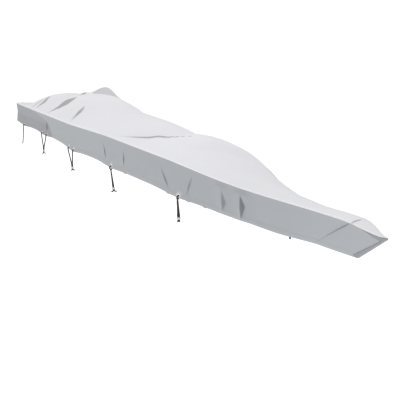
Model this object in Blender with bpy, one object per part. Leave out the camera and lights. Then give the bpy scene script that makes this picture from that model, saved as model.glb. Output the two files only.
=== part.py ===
"""A fitted boat cover for a 5.8 m runabout, as it hangs on the boat.

One light cloth covers the top. A darker skirt hangs from its rim in three strips, a nose band binds the bow,
and cords tied through eyelets in the hem hold the cover down. The boat is not modelled: the cover is hollow.

Hull lengths run from the transom (x = 0) to the bow tip, y is to port, z is up from the gunwale. Everything
hangs under one empty, which moves that frame so that the origin is the mount under the crest of the top.
"""
from math import cos, pi, radians, sin, sqrt

import bmesh
import bpy
import numpy as np
from mathutils import Matrix, Vector

# ---- the plan of the gunwale ----
LENGTH = 5.80
TRANSOM_HALF = 1.02          # half the beam at the transom
WIDEST_HALF = 1.13           # half the beam where the boat is widest
WIDEST_SHARE = 0.56          # how far forward that is, as a share of the length
ENTRY_POWER = 2.4            # how full the bow is in plan
NOSE_RADIUS = 0.050          # the rounding of the bow tip, in plan
NOSE_CUT = 0.0192            # how much of the sharp bow that rounding takes off
NOSE_TANGENT = 45            # degrees round the nose, from straight ahead, where it meets the sides
NOSE_FLAT = 0.015            # half the flat at the very front
NOSE_END = LENGTH - NOSE_RADIUS + sqrt(NOSE_RADIUS ** 2 - NOSE_FLAT ** 2)

# ---- the cloth ----
CLOTH = 0.002
HEM_THICK = 0.003            # the turned hem is thicker than the cloth
GAP = 0.0003                 # clearance between pieces that touch
TURN_DOWN = 0.012            # the top cloth turns down this far at the rim, where the skirt is sewn on
RIM_STEP = 0.7 * CLOTH       # the inner face lies this far below the outer one at the rim

# ---- the skirt ----
SKIRT_FLARE = 0.20           # the skirt leans in with the hull, as a share of the half beam for each metre down
STEM_RAKE = 0.178            # how far the hem is set back from the rim at the stem
RAKE_STARTS = 0.60           # share of the length where that starts
HEM_SHARE = 0.84             # the hem fills the rest of the skirt's depth
HEM_STEP = 0.02              # the share of the depth in which the cloth thickens to the hem
SKIRT_ROWS = (0.0, 0.20, 0.42, 0.63, HEM_SHARE - HEM_STEP, HEM_SHARE, 1.0)
TIE_PULL = 0.022             # a tie draws the hem down this much
TIE_PULL_REACH = 0.22

# ---- the nose band ----
BAND_CLEAR = 0.0010          # room for the facets of the skirt under it
BAND_TURN = 0.042            # the stretch round the nose that needs close columns
BAND_TURN_COLUMNS = 6
BAND_TURN_END = 0.95         # the last of them, as a share of that stretch
BAND_TONGUE_SHARES = (0.0, 0.33, 0.66, 1.0)

# ---- eyelets and cords ----
EYELET_HOLE = 0.0095
EYELET_BARREL = 0.0110
EYELET_RIM = 0.0200
EYELET_METAL = 0.0018        # how far a flange stands off the hem at the hole
EYELET_PATCH = 0.045         # half the flat stretch of hem that an eyelet sits in
EYELET_SEGMENTS = 12
CORD_RADIUS = 0.007
CORD_STEP = 0.040            # the longest space between two points of a cord
STRAND_OFFSET = 0.0077       # two strands lie side by side, each this far from the middle of the tie
CORD_STANDS_OFF = 0.012      # the ties lie this far outside the line of the skirt
CORD_SITS = 0.00195          # a cord lies this far below the middle of its hole, down on the metal
RING_BORE = 0.0080
RING_WALL = 0.004
RING_HALF_HEIGHT = 0.011
RING_ARC_STEPS = 6
# the way of a strand from its eyelet: out of the hem, and up from the eyelet's middle
LEAVES_EYELET = ((0.006, 0.0), (0.0165, -0.008), (0.0155, -0.026))
LOOP_MEETS_AT = -0.045       # the two halves of a loop come together this far up from the eyelet's middle
LOOP_OFFSET = 0.0058         # each is then this far forward and this far out from the line between them
STRAIGHT_AT_RING = (-0.040, -0.016, 0.010, 0.016)
TAIL_BEND = (0.30, 0.45, 0.006)  # a tail's middle point: its share sideways and down, and a little more down

# ---- the mount: where the boat's highest structure holds the top up ----
MOUNT_X = 1.20

# x, height of the rim over the straight gunwale line
RIM_TABLE = (
    (0.00, -0.010),
    (2.00, -0.008),
    (3.20, 0.022),
    (4.00, 0.018),
    (4.80, -0.010),
    (5.50, 0.010),
    (5.80, -0.030),
)

# x, depth of the skirt between the ties
DEPTH_TABLE = (
    (0.00, 0.262),
    (1.40, 0.252),
    (2.00, 0.258),
    (2.35, 0.281),
    (3.20, 0.283),
    (3.60, 0.287),
    (4.00, 0.282),
    (4.50, 0.267),
    (4.95, 0.268),
    (5.25, 0.281),
    (5.55, 0.266),
    (5.80, 0.234),
)

# x, height of the crown above the rim, power of the cross-section (2 is a parabola, more is boxier)
CROWN_TABLE = (
    (0.00, 0.130, 3.0),
    (0.30, 0.090, 3.0),
    (0.55, 0.425, 3.0),
    (0.80, 0.478, 2.6),
    (1.20, 0.533, 2.2),
    (1.70, 0.448, 2.0),
    (2.30, 0.416, 2.0),
    (2.80, 0.368, 2.0),
    (3.20, 0.271, 2.0),
    (3.60, 0.348, 2.0),
    (3.80, 0.330, 2.0),
    (4.00, 0.207, 2.0),
    (4.40, 0.071, 2.0),
    (4.80, 0.063, 2.0),
    (5.20, 0.048, 2.0),
    (5.55, 0.054, 2.0),
    (5.80, 0.008, 2.0),
)

# the hump that the boat's gear pushes up behind the crest: x, y, half length, half width, height
HUMP = (0.711, 0.015, 0.289, 0.182, 0.205)

# folds of the top, in plan: name, x and y of each end, half width, height
TOP_FOLDS = (
    ("corner", 0.72, -1.04, 0.72, -0.72, 0.07, 0.018),
    ("quarter_low", 1.36, -1.06, 1.32, -0.86, 0.07, 0.020),
    ("quarter_high", 1.32, -0.86, 0.98, -0.40, 0.08, 0.024),
    ("side", 2.10, -1.06, 1.54, -0.68, 0.09, 0.016),
    ("windscreen_low", 3.22, -1.06, 3.62, -0.86, 0.10, 0.016),
    ("windscreen_high", 3.62, -0.86, 3.74, -0.36, 0.10, 0.020),
)

# folds of the starboard skirt: name, x and share of the depth at each end, half width, how far it stands out
SKIRT_FOLDS = (
    ("aft_wedge", 4.66, 0.20, 4.74, 0.90, 0.045, 0.014),
    ("fore_wedge", 4.83, 0.18, 4.93, 0.93, 0.050, 0.018),
)

# the stern end of the starboard skirt is drawn in behind this line: x, share of the depth
STERN_TUCK_LINE = ((0.30, -0.10), (0.72, 0.0), (1.30, 0.18), (1.48, 0.30), (1.64, 0.85), (1.66, 1.0))
STERN_TUCK = 0.022
STERN_TUCK_EDGE = 0.09

# share of the skirt's depth, how far the nose band reaches back from the stem along the rim. A share below 0
# is over the turned edge of the top
NOSE_BAND = (
    (-0.048, 0.036),
    (-0.030, 0.050),
    (-0.014, 0.068),
    (-0.004, 0.100),
    (0.004, 0.150),
    (0.012, 0.240),
    (0.030, 0.185),
    (0.058, 0.140),
    (0.090, 0.098),
    (0.108, 0.070),
    (0.130, 0.048),
    (0.430, 0.054),
    (0.730, 0.066),
    (0.930, 0.072),
    (0.985, 0.048),
)

# name, x of the eyelets, x and z of the ring, then forward, out and down for the tail of each strand
TIES = (
    ("tie_1", (0.403,), 0.48, -0.515, ((-0.008, 0.008, 0.020),)),
    ("tie_2", (1.203, 1.374), 1.375, -0.487, ((-0.010, 0.011, 0.019), (0.052, 0.0, 0.024))),
    ("tie_3", (2.177, 2.310), 2.330, -0.496, ((-0.008, 0.011, 0.012), (0.044, 0.0, 0.017))),
    ("tie_4", (3.22,), 3.330, -0.477, ((-0.016, 0.018, 0.015), (0.037, 0.0, 0.020))),
    ("tie_5", (4.276,), 4.320, -0.462, ((0.0, 0.010, 0.012), (0.003, 0.010, 0.012))),
)

# stretches of the hull and the spacing of the stations that shape them
STATION_ZONES = ((0.0, 1.5, 0.10), (1.5, 3.7, 0.17), (3.7, 5.4, 0.15), (5.4, 5.76, 0.09))
FOLD_STATIONS = (4.64, 4.71, 4.77, 4.83, 4.89, 4.96)
STATION_ROOM = 0.6           # an even station closer than this share of the spacing to another is left out
NOSE_ANGLES = (NOSE_TANGENT, 36, 27)
ACROSS = 16                  # spaces across the top

# base colour, roughness, metallic
FINISHES = {
    "top_cloth": ((0.78, 0.78, 0.81), 0.75, 0.0),
    "skirt_cloth": ((0.42, 0.43, 0.45), 0.78, 0.0),
    "nose_cloth": ((0.27, 0.27, 0.28), 0.78, 0.0),
    "eyelet_metal": ((0.66, 0.66, 0.67), 0.35, 1.0),
    "cord": ((0.03, 0.03, 0.035), 0.85, 0.0),
    "ring_plastic": ((0.62, 0.58, 0.58), 0.5, 0.0),
}


# ---------------------------------------------------------------- the shape of the hull and the cloth

def table_value(table, column, x):
    """A smooth value between a table's rows: a cubic whose slopes never overshoot."""
    xs = np.array([row[0] for row in table])
    values = np.array([row[column] for row in table])
    steps = np.diff(values) / np.diff(xs)
    slopes = np.zeros(len(xs))
    for i in range(1, len(xs) - 1):
        if steps[i - 1] * steps[i] > 0:
            slopes[i] = 2 * steps[i - 1] * steps[i] / (steps[i - 1] + steps[i])
    x = min(max(x, xs[0]), xs[-1])
    i = min(int(np.searchsorted(xs, x, side="right")) - 1, len(xs) - 2)
    width = xs[i + 1] - xs[i]
    u = (x - xs[i]) / width
    near, far = (1 + 2 * u) * (1 - u) ** 2, u * u * (3 - 2 * u)
    return float(near * values[i] + far * values[i + 1]
                 + u * (1 - u) ** 2 * width * slopes[i] - u * u * (1 - u) * width * slopes[i + 1])


def smooth(u):
    u = min(max(u, 0.0), 1.0)
    return u * u * (3 - 2 * u)


def half_beam(x):
    """Half the beam at x: an easy curve to the widest point, a full entry, and a round nose."""
    share = x / (LENGTH + NOSE_CUT)
    if share < WIDEST_SHARE:
        return TRANSOM_HALF + (WIDEST_HALF - TRANSOM_HALF) * (1 - (1 - share / WIDEST_SHARE) ** 2)
    entry = WIDEST_HALF * (1 - ((share - WIDEST_SHARE) / (1 - WIDEST_SHARE)) ** ENTRY_POWER)
    ahead = x - (LENGTH - NOSE_RADIUS)
    if ahead > NOSE_RADIUS * cos(radians(NOSE_TANGENT)):
        return max(sqrt(max(NOSE_RADIUS ** 2 - ahead ** 2, 0.0)), NOSE_FLAT)
    return entry


def plan_normal(x):
    """The outward direction of the starboard gunwale in plan."""
    step = 0.001
    low, high = max(x - step, 0.0), min(x + step, NOSE_END)
    slope = (half_beam(high) - half_beam(low)) / (high - low)
    return Vector((-slope, -1.0, 0.0)).normalized()


def rim_height(x):
    return table_value(RIM_TABLE, 1, x)


def skirt_depth(x):
    """Depth of the skirt below the rim, with the hem drawn down at each tie."""
    middles = [sum(tie[1]) / len(tie[1]) for tie in TIES]
    pull = max(np.exp(-((x - middle) / TIE_PULL_REACH) ** 2) for middle in middles)
    return table_value(DEPTH_TABLE, 1, x) + TIE_PULL * pull


def fold_height(point, start, end, half_width, height):
    """How high a fold stands at a point of its plane: a soft ridge that fades out at both ends."""
    along = end - start
    share = (point - start).dot(along) / along.length_squared
    away = (point - start - along * min(max(share, 0.0), 1.0)).length
    return height * np.exp(-(away / half_width) ** 2)


def top_height(x, across):
    """Height of the top at x, and at a share from -1 (starboard rim) to 1 (port rim)."""
    y = across * half_beam(x)
    edge = 1 - abs(across) ** 10
    hump_x, hump_y, hump_length, hump_width, hump_height = HUMP
    raised = hump_height * np.exp(-((x - hump_x) / hump_length) ** 2 - ((y - hump_y) / hump_width) ** 2)
    for _, x0, y0, x1, y1, half_width, height in TOP_FOLDS:
        raised += fold_height(Vector((x, y)), Vector((x0, y0)), Vector((x1, y1)), half_width, height)
    crown = table_value(CROWN_TABLE, 1, x) * (1 - abs(across) ** table_value(CROWN_TABLE, 2, x))
    return rim_height(x) + TURN_DOWN + crown + raised * edge


def skirt_stands_out(x, down):
    """How far the starboard skirt stands out of its plain surface: folds out, the stern end drawn in."""
    out = 0.0
    depth = skirt_depth(x)
    for _, x0, down0, x1, down1, half_width, height in SKIRT_FOLDS:
        start, end = Vector((x0, down0 * depth)), Vector((x1, down1 * depth))
        out += fold_height(Vector((x, down * depth)), start, end, half_width, height)
    line_x = np.interp(down, [row[1] for row in STERN_TUCK_LINE], [row[0] for row in STERN_TUCK_LINE])
    drawn_in = smooth((line_x - x) / STERN_TUCK_EDGE) * smooth(down / 0.5)
    return out * smooth(down / 0.2) - STERN_TUCK * drawn_in


def skirt_point(x, down, folded=True):
    """A point on the outer face of the starboard skirt, down from 0 at the rim to 1 at the hem."""
    depth = skirt_depth(x) * down
    bow = smooth((x / LENGTH - RAKE_STARTS) / (1 - RAKE_STARTS)) ** 2
    plain = Vector((x - STEM_RAKE * bow * down,
                    -half_beam(x) * (1 - SKIRT_FLARE * depth),
                    rim_height(x) - depth))
    return plain + plan_normal(x) * skirt_stands_out(x, down) if folded else plain


def skirt_normal(x, down, round_front):
    """The outward direction of the starboard skirt. Round_front runs from 0 at the stem to 1 past the flat."""
    step = 0.001
    along = skirt_point(min(x + step, NOSE_END), down, False) - skirt_point(x - step, down, False)
    below = skirt_point(x, min(down + step, 1.0), False) - skirt_point(x, down - step, False)
    side = along.cross(below).normalized()
    side = side if side.x > 0 else -side
    ahead = Vector((-below.z, 0.0, below.x)).normalized()
    return ahead.lerp(side, round_front).normalized()


def make_stations():
    """Where the cloth's cross-sections are: even in each zone, at the folds, and each side of an eyelet."""
    fixed = [0.0] + [x + side * EYELET_PATCH for tie in TIES for x in tie[1] for side in (-1, 1)]
    fixed += FOLD_STATIONS
    for start, end, space in STATION_ZONES:
        count = round((end - start) / space)
        even = [start + (end - start) * (i + 1) / count for i in range(count)]
        fixed += [x for x in even if min(abs(x - other) for other in fixed) > STATION_ROOM * space]
    nose = [LENGTH - NOSE_RADIUS * (1 - cos(radians(angle))) for angle in NOSE_ANGLES]
    return sorted(fixed) + nose + [NOSE_END]


STATIONS = make_stations()
ACROSS_SHARES = [0.5 * (u + sin(pi * u / 2)) for u in np.linspace(-1, 1, ACROSS + 1)]


# ---------------------------------------------------------------- making solids

def material(name):
    colour, roughness, metallic = FINISHES[name]
    made = bpy.data.materials.new(name)
    made.use_nodes = True
    surface = made.node_tree.nodes["Principled BSDF"]
    surface.inputs["Base Color"].default_value = (*colour, 1.0)
    surface.inputs["Roughness"].default_value = roughness
    surface.inputs["Metallic"].default_value = metallic
    return made


def add_object(name, data, finish, parent, place=None):
    obj = bpy.data.objects.new(name, data)
    bpy.context.scene.collection.objects.link(obj)
    data.materials.append(material(finish))
    obj.parent = parent
    if place is not None:
        obj.location = place.to_translation()
        obj.rotation_euler = place.to_euler()
    return obj


def mesh_from(name, points, faces):
    mesh = bpy.data.meshes.new(name)
    mesh.from_pydata([tuple(p) for p in points], [], faces)
    model = bmesh.new()
    model.from_mesh(mesh)
    bmesh.ops.recalc_face_normals(model, faces=model.faces)
    model.to_mesh(mesh)
    model.free()
    mesh.shade_smooth()
    mesh.set_sharp_from_angle(angle=radians(50))
    return mesh


def grid_normals(grid):
    """The unit normals of a grid of points, from the steps to its neighbours."""
    down = np.gradient(grid, axis=1)
    along = np.gradient(grid, axis=0)
    normals = np.cross(along, down)
    return normals / np.linalg.norm(normals, axis=2, keepdims=True)


def edge_loop(rows, columns):
    """The grid places round the edge of a grid, in order."""
    loop = [(i, 0) for i in range(rows)]
    loop += [(rows - 1, j) for j in range(1, columns)]
    loop += [(i, columns - 1) for i in range(rows - 2, -1, -1)]
    loop += [(0, j) for j in range(columns - 2, 0, -1)]
    return loop


def sheet_mesh(name, outer, inner, outer_edge=None, inner_edge=None):
    """A closed sheet from its two faces. With edge points, the border first turns down to them."""
    rows, columns = outer.shape[:2]
    points = [tuple(p) for face in (outer, inner) for line in face for p in line]
    inner_start = rows * columns

    def at(side, i, j):
        return side * inner_start + i * columns + j

    # both faces are split along the same diagonals, so that the cloth keeps its thickness where it twists
    faces = []
    for i in range(rows - 1):
        for j in range(columns - 1):
            a, b, c, d = (i, j), (i + 1, j), (i + 1, j + 1), (i, j + 1)
            for triangle in ((a, b, c), (a, c, d)):
                faces.append([at(0, *place) for place in triangle])
                faces.append([at(1, *place) for place in reversed(triangle)])
    loop = edge_loop(rows, columns)
    rings = [[at(0, *place) for place in loop], [at(1, *place) for place in loop]]
    if outer_edge is not None:
        turned = []
        for edge in (outer_edge, inner_edge):
            turned.append([len(points) + k for k in range(len(loop))])
            points += [tuple(p) for p in edge]
        rings = [rings[0], turned[0], turned[1], rings[1]]
    for first, second in zip(rings, rings[1:]):
        for k in range(len(loop)):
            n = (k + 1) % len(loop)
            faces.append([first[k], second[k], second[n], first[n]])
    return mesh_from(name, points, faces)


# ---------------------------------------------------------------- the cover's pieces

def top_panel(parent):
    outer = np.array([[(x, share * half_beam(x), top_height(x, share)) for share in ACROSS_SHARES]
                      for x in STATIONS])
    rows, columns = outer.shape[:2]
    normals = grid_normals(outer)
    normals *= np.sign(normals[:, :, 2:3])
    inner = outer - CLOTH * normals
    inward = {}
    for i, x in enumerate(STATIONS):
        side = plan_normal(x)
        inward[(i, 0)] = np.array((-side.x, -side.y, 0.0))
        inward[(i, columns - 1)] = np.array((-side.x, side.y, 0.0))
    for j in range(1, columns - 1):
        inward[(0, j)] = np.array((1.0, 0.0, 0.0))
        inward[(rows - 1, j)] = np.array((-1.0, 0.0, 0.0))
    for j, turn in ((0, 1.0), (columns - 1, -1.0)):
        inward[(0, j)] = np.array((1.0, turn, 0.0))
    loop = edge_loop(rows, columns)
    drop = np.array((0.0, 0.0, TURN_DOWN))
    for place in loop:
        inner[place] = outer[place] + CLOTH * inward[place] - (0.0, 0.0, RIM_STEP)
    outer_edge = [outer[place] - drop for place in loop]
    inner_edge = [outer[place] - drop + CLOTH * inward[place] for place in loop]
    mesh = sheet_mesh("top_panel", outer, inner, outer_edge, inner_edge)
    return add_object("top_panel", mesh, "top_cloth", parent)


def row_thickness(down):
    return HEM_THICK if down >= HEM_SHARE - 1e-6 else CLOTH


def side_skirt(side, parent):
    """One side of the skirt. Port is the starboard strip mirrored, without the folds."""
    folded = side == "starboard"
    lower = Vector((0.0, 0.0, GAP))
    outer = [[skirt_point(x, down, folded) - lower for down in SKIRT_ROWS] for x in STATIONS]
    front = [Vector((p.x, -GAP / 2, p.z)) for p in outer[-1]]
    outer = np.array([[tuple(p) for p in line] for line in outer + [front]])
    normals = grid_normals(outer)
    normals *= -np.sign(normals[:1, :1, 1])[0]
    rim = np.array([tuple(plan_normal(x)) for x in STATIONS] + [(1.0, 0.0, 0.0)])
    normals[:, 0] = rim
    normals[0, :, 0] = 0.0
    normals[-1, :, 1] = 0.0
    normals /= np.linalg.norm(normals, axis=2, keepdims=True)
    thickness = np.array([row_thickness(down) for down in SKIRT_ROWS])[None, :, None]
    inner = outer - thickness * normals
    if side == "port":
        outer, inner = outer * (1, -1, 1), inner * (1, -1, 1)
    name = "skirt_" + side
    skirt = add_object(name, sheet_mesh(name, outer, inner), "skirt_cloth", parent)
    cut_eyelet_holes(skirt, side, parent)
    return skirt


def transom_skirt(parent):
    """The strip across the stern, between the ends of the side strips."""
    edge_y = [share * half_beam(0.0) for share in ACROSS_SHARES]
    edge_z = [top_height(0.0, share) - TURN_DOWN for share in ACROSS_SHARES]
    hem_z = rim_height(0.0) - skirt_depth(0.0)
    outer = np.zeros((len(ACROSS_SHARES), len(SKIRT_ROWS), 3))
    for j, down in enumerate(SKIRT_ROWS):
        room = row_thickness(down) + GAP
        low = skirt_point(0.0, down, True).y + room
        high = -skirt_point(0.0, down, False).y - room
        for i, share in enumerate(ACROSS_SHARES):
            y = low + (high - low) * (share + 1) / 2
            if j == 0:
                outer[i, 0] = (0.0, y, np.interp(y + CLOTH * np.sign(share), edge_y, edge_z) - GAP)
            top_z = outer[i, 0, 2]
            outer[i, j] = (0.0, y, top_z + (hem_z - top_z) * down)
    inner = outer.copy()
    inner[:, :, 0] = [row_thickness(down) for down in SKIRT_ROWS]
    return add_object("skirt_transom", sheet_mesh("skirt_transom", outer, inner), "skirt_cloth", parent)


def rim_from_stem(reach):
    """The x on the rim that lies this far round from the middle of the nose, and the share of its half beam."""
    if reach <= NOSE_FLAT:
        return NOSE_END, reach / NOSE_FLAT
    xs = np.concatenate([np.linspace(NOSE_END, NOSE_END - 0.04, 60), np.linspace(NOSE_END - 0.05, 5.2, 60)])
    halves = np.array([half_beam(x) for x in xs])
    travelled = NOSE_FLAT + np.concatenate([[0.0], np.cumsum(np.hypot(np.diff(xs), np.diff(halves)))])
    return float(np.interp(reach, travelled, xs)), 1.0


def band_point(x, narrow, down):
    """A point under the nose band. Over the edge of the top it goes straight up."""
    point = skirt_point(x, max(down, 0.0), False)
    return Vector((point.x, point.y * narrow, point.z - min(down, 0.0) * skirt_depth(x)))


def nose_band(parent):
    """The dark strip sewn round the bow: a cap on the tip, a tongue along the rim, and a wider part down the stem."""
    base, normals = [], []
    for down, reach in NOSE_BAND:
        turn = min(reach, BAND_TURN)
        places = [turn * k / BAND_TURN_COLUMNS for k in range(BAND_TURN_COLUMNS)]
        places += [turn * BAND_TURN_END + (reach - turn * BAND_TURN_END) * share for share in BAND_TONGUE_SHARES]
        line = [rim_from_stem(place) for place in places]
        points = [band_point(x, narrow, down) for x, narrow in line]
        outward = [skirt_normal(x, max(down, 0.0), narrow) for x, narrow in line]
        mirror = Vector((1.0, -1.0, 1.0))
        base.append([tuple(p * mirror) for p in points[:0:-1]] + [tuple(p) for p in points])
        normals.append([tuple(n * mirror) for n in outward[:0:-1]] + [tuple(n) for n in outward])
    base = np.array(base).transpose(1, 0, 2)
    normals = np.array(normals).transpose(1, 0, 2)
    inner = base + BAND_CLEAR * normals
    outer = base + (BAND_CLEAR + CLOTH) * normals
    return add_object("nose_band", sheet_mesh("nose_band", outer, inner), "nose_cloth", parent)


# ---------------------------------------------------------------- eyelets

def eyelet_place(x, side):
    """The frame of an eyelet: z out of the hem, y up, at the middle of the hem's thickness."""
    corners = [skirt_point(x + along * EYELET_PATCH, down, side == "starboard")
               for along, down in ((-1, HEM_SHARE), (1, HEM_SHARE), (1, 1.0), (-1, 1.0))]
    centre = sum(corners, Vector()) / 4 - Vector((0.0, 0.0, GAP))
    out = (corners[2] - corners[0]).cross(corners[1] - corners[3]).normalized()
    if out.y > 0:
        out = -out
    centre -= out * HEM_THICK / 2
    if side == "port":
        centre.y, out.y = -centre.y, -out.y
    up = (Vector((0, 0, 1)) - out * out.z).normalized()
    frame = Matrix((up.cross(out), up, out)).transposed().to_4x4()
    frame.translation = centre
    return frame


def turned_ring(name, profile, segments):
    """A ring from a closed profile of (radius, height), turned round the z axis."""
    points = [(r * cos(2 * pi * k / segments), r * sin(2 * pi * k / segments), h)
              for k in range(segments) for r, h in profile]
    count = len(profile)
    faces = []
    for k in range(segments):
        for i in range(count):
            n, m = (k + 1) % segments, (i + 1) % count
            faces.append([k * count + i, k * count + m, n * count + m, n * count + i])
    return mesh_from(name, points, faces)


def eyelet(name, place, parent):
    """A metal ring that grips the hem: two flanges and the barrel between them."""
    inside = HEM_THICK / 2 + GAP
    outside = inside + EYELET_METAL
    profile = [(EYELET_HOLE, -outside), (EYELET_RIM, -inside), (EYELET_BARREL, -inside),
               (EYELET_BARREL, inside), (EYELET_RIM, inside), (EYELET_HOLE, outside)]
    mesh = turned_ring(name, profile, EYELET_SEGMENTS)
    return add_object(name, mesh, "eyelet_metal", parent, place)


def cut_eyelet_holes(skirt, side, parent):
    """Cut the hem for the barrels, with one cutter for the whole strip."""
    model = bmesh.new()
    for _, eyelets, _, _, _ in TIES:
        for x in eyelets:
            bmesh.ops.create_cone(model, cap_ends=True, segments=EYELET_SEGMENTS, depth=4 * HEM_THICK,
                                  radius1=EYELET_BARREL + GAP, radius2=EYELET_BARREL + GAP,
                                  matrix=eyelet_place(x, side))
    mesh = bpy.data.meshes.new("holes_" + side)
    model.to_mesh(mesh)
    model.free()
    cutter = bpy.data.objects.new("holes_" + side, mesh)
    bpy.context.scene.collection.objects.link(cutter)
    cutter.parent = parent
    cutter.hide_render = True
    cutter.display_type = "WIRE"
    cut = skirt.modifiers.new("eyelet_holes", "BOOLEAN")
    cut.operation = "DIFFERENCE"
    cut.object = cutter


# ---------------------------------------------------------------- ties

def smooth_route(points):
    """A smooth curve through the route's own points, with short spaces between its points."""
    points = [Vector(p) for p in points]
    spans = [(b - a).length for a, b in zip(points, points[1:])]
    slopes = []
    for i, point in enumerate(points):
        before, after = max(i - 1, 0), min(i + 1, len(points) - 1)
        slopes.append((points[after] - points[before]) / sum(spans[before:after]))
    route = [points[0]]
    for i, span in enumerate(spans):
        count = max(1, round(span / CORD_STEP + 0.3))
        for k in range(1, count + 1):
            u = k / count
            route.append(points[i] * (1 + 2 * u) * (1 - u) ** 2 + points[i + 1] * u * u * (3 - 2 * u)
                         + slopes[i] * span * u * (1 - u) ** 2 - slopes[i + 1] * span * u * u * (1 - u))
    return route


def ring_place(tie, side):
    """The frame of a tie's ring: z down the cords, x forward, y out from the hull."""
    _, eyelets, ring_x, ring_z, _ = tie
    depth = rim_height(ring_x) - ring_z
    y = -half_beam(ring_x) * (1 - SKIRT_FLARE * depth) - CORD_STANDS_OFF
    centre = Vector((ring_x, y, ring_z))
    start = sum((eyelet_place(x, "starboard").translation for x in eyelets), Vector()) / len(eyelets)
    start += Vector((0.0, -CORD_STANDS_OFF, 0.0))
    down = (centre - start).normalized()
    forward = (plan_normal(ring_x).cross(down)).normalized()
    if forward.x < 0:
        forward = -forward
    out = down.cross(forward)
    if side == "port":
        for axis in (centre, down, forward, out):
            axis.y = -axis.y
        forward = -forward
    frame = Matrix((forward, out, down)).transposed().to_4x4()
    frame.translation = centre
    return frame


def strand_route(tie, index, side):
    """The middle of one strand: through its eyelet, down to the ring, and out to its free tail."""
    _, eyelets, _, _, tails = tie
    looped = len(tails) > len(eyelets)
    hole = eyelet_place(eyelets[0 if looped else index], side)
    up, out = hole.col[1].to_3d(), hole.col[2].to_3d()
    ring = ring_place(tie, side)
    forward, away, down = (ring.col[axis].to_3d() for axis in range(3))
    if side == "port":
        forward = -forward
    centre = hole.translation - up * CORD_SITS
    turn = -1 if looped and index == 0 else 1
    start = 0.0006 if looped else -0.020
    route = [centre + out * turn * start]
    route += [centre + out * turn * clear + up * rise for clear, rise in LEAVES_EYELET]
    if looped:
        route.append(centre + up * LOOP_MEETS_AT + (forward + out) * turn * LOOP_OFFSET)
    beside = 0.0 if len(tails) == 1 else (2 * index - 1) * STRAND_OFFSET
    middle = ring.translation + forward * beside
    straight = [middle + down * along for along in STRAIGHT_AT_RING]
    route.append((route[-1] + straight[0]) / 2)
    route += straight
    tail_forward, tail_out, tail_down = tails[index]
    sideways = forward * tail_forward + away * tail_out
    bend_side, bend_down, drop = TAIL_BEND
    route.append(straight[-1] + sideways * bend_side + down * (tail_down * bend_down + drop))
    route.append(straight[-1] + sideways + down * tail_down)
    return smooth_route(route)


def strand(name, route, parent):
    curve = bpy.data.curves.new(name, "CURVE")
    curve.dimensions = "3D"
    curve.bevel_depth = CORD_RADIUS
    curve.bevel_resolution = 2
    curve.use_fill_caps = True
    spline = curve.splines.new("POLY")
    spline.points.add(len(route) - 1)
    for point, place in zip(spline.points, route):
        point.co = (*place, 1.0)
    return add_object(name, curve, "cord", parent)


def cord_ring(name, strands, place, parent):
    """The ring that holds a tie's strands side by side: a short tube, round or with straight flanks."""
    half_flat = STRAND_OFFSET if strands > 1 else 0.0

    def outline(radius):
        arc = [pi * k / RING_ARC_STEPS - pi / 2 for k in range(RING_ARC_STEPS + 1)]
        points = [(half_flat + radius * cos(a), radius * sin(a)) for a in arc]
        other = [(-x, -y) for x, y in points]
        return points + other if half_flat else points[:-1] + other[:-1]

    inner, outer = outline(RING_BORE), outline(RING_BORE + RING_WALL)
    count = len(inner)
    loops = [(outer, -1), (outer, 1), (inner, 1), (inner, -1)]
    points = [(x, y, end * RING_HALF_HEIGHT) for loop, end in loops for x, y in loop]
    faces = []
    for k in range(4):
        for i in range(count):
            n, m = (k + 1) % 4, (i + 1) % count
            faces.append([k * count + i, k * count + m, n * count + m, n * count + i])
    return add_object(name, mesh_from(name, points, faces), "ring_plastic", parent, place)


def ties(side, parent):
    number = 0
    for tie in TIES:
        name, eyelets, _, _, tails = tie
        for x in eyelets:
            number += 1
            eyelet(f"eyelet_{side}_{number}", eyelet_place(x, side), parent)
        for index in range(len(tails)):
            route = strand_route(tie, index, side)
            strand(f"{name}_{side}_strand_{index + 1}", route, parent)
        cord_ring(f"{name}_{side}_ring", len(tails), ring_place(tie, side), parent)


def build():
    for obj in list(bpy.data.objects):
        bpy.data.objects.remove(obj, do_unlink=True)
    cover = bpy.data.objects.new("boat_cover", None)
    bpy.context.scene.collection.objects.link(cover)
    mount_z = top_height(MOUNT_X, 0.0) - CLOTH
    cover.location = (-MOUNT_X, 0.0, -mount_z)
    top_panel(cover)
    for side in ("starboard", "port"):
        side_skirt(side, cover)
        ties(side, cover)
    transom_skirt(cover)
    nose_band(cover)


build()
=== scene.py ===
# %% [markdown]
# # A fitted cover for a small motor boat
#
# The cover is sewn from coated polyester. One light cloth spans the boat from rim to rim, and a darker skirt hangs
# from that rim all round and ends in a hem. Eyelets in the hem take short black cords, which tie the cover down.
# Nothing in it is stiff: the boat under it gives it its shape. This lesson dresses the plain solids of that cover
# as cloth, thread, metal and cord, one kind of piece at a time.

# %% Load the solids and keep their box
from math import cos, pi, radians, sin, sqrt

import bmesh
import bpy
import numpy as np
from mathutils import Matrix, Vector, noise


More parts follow.
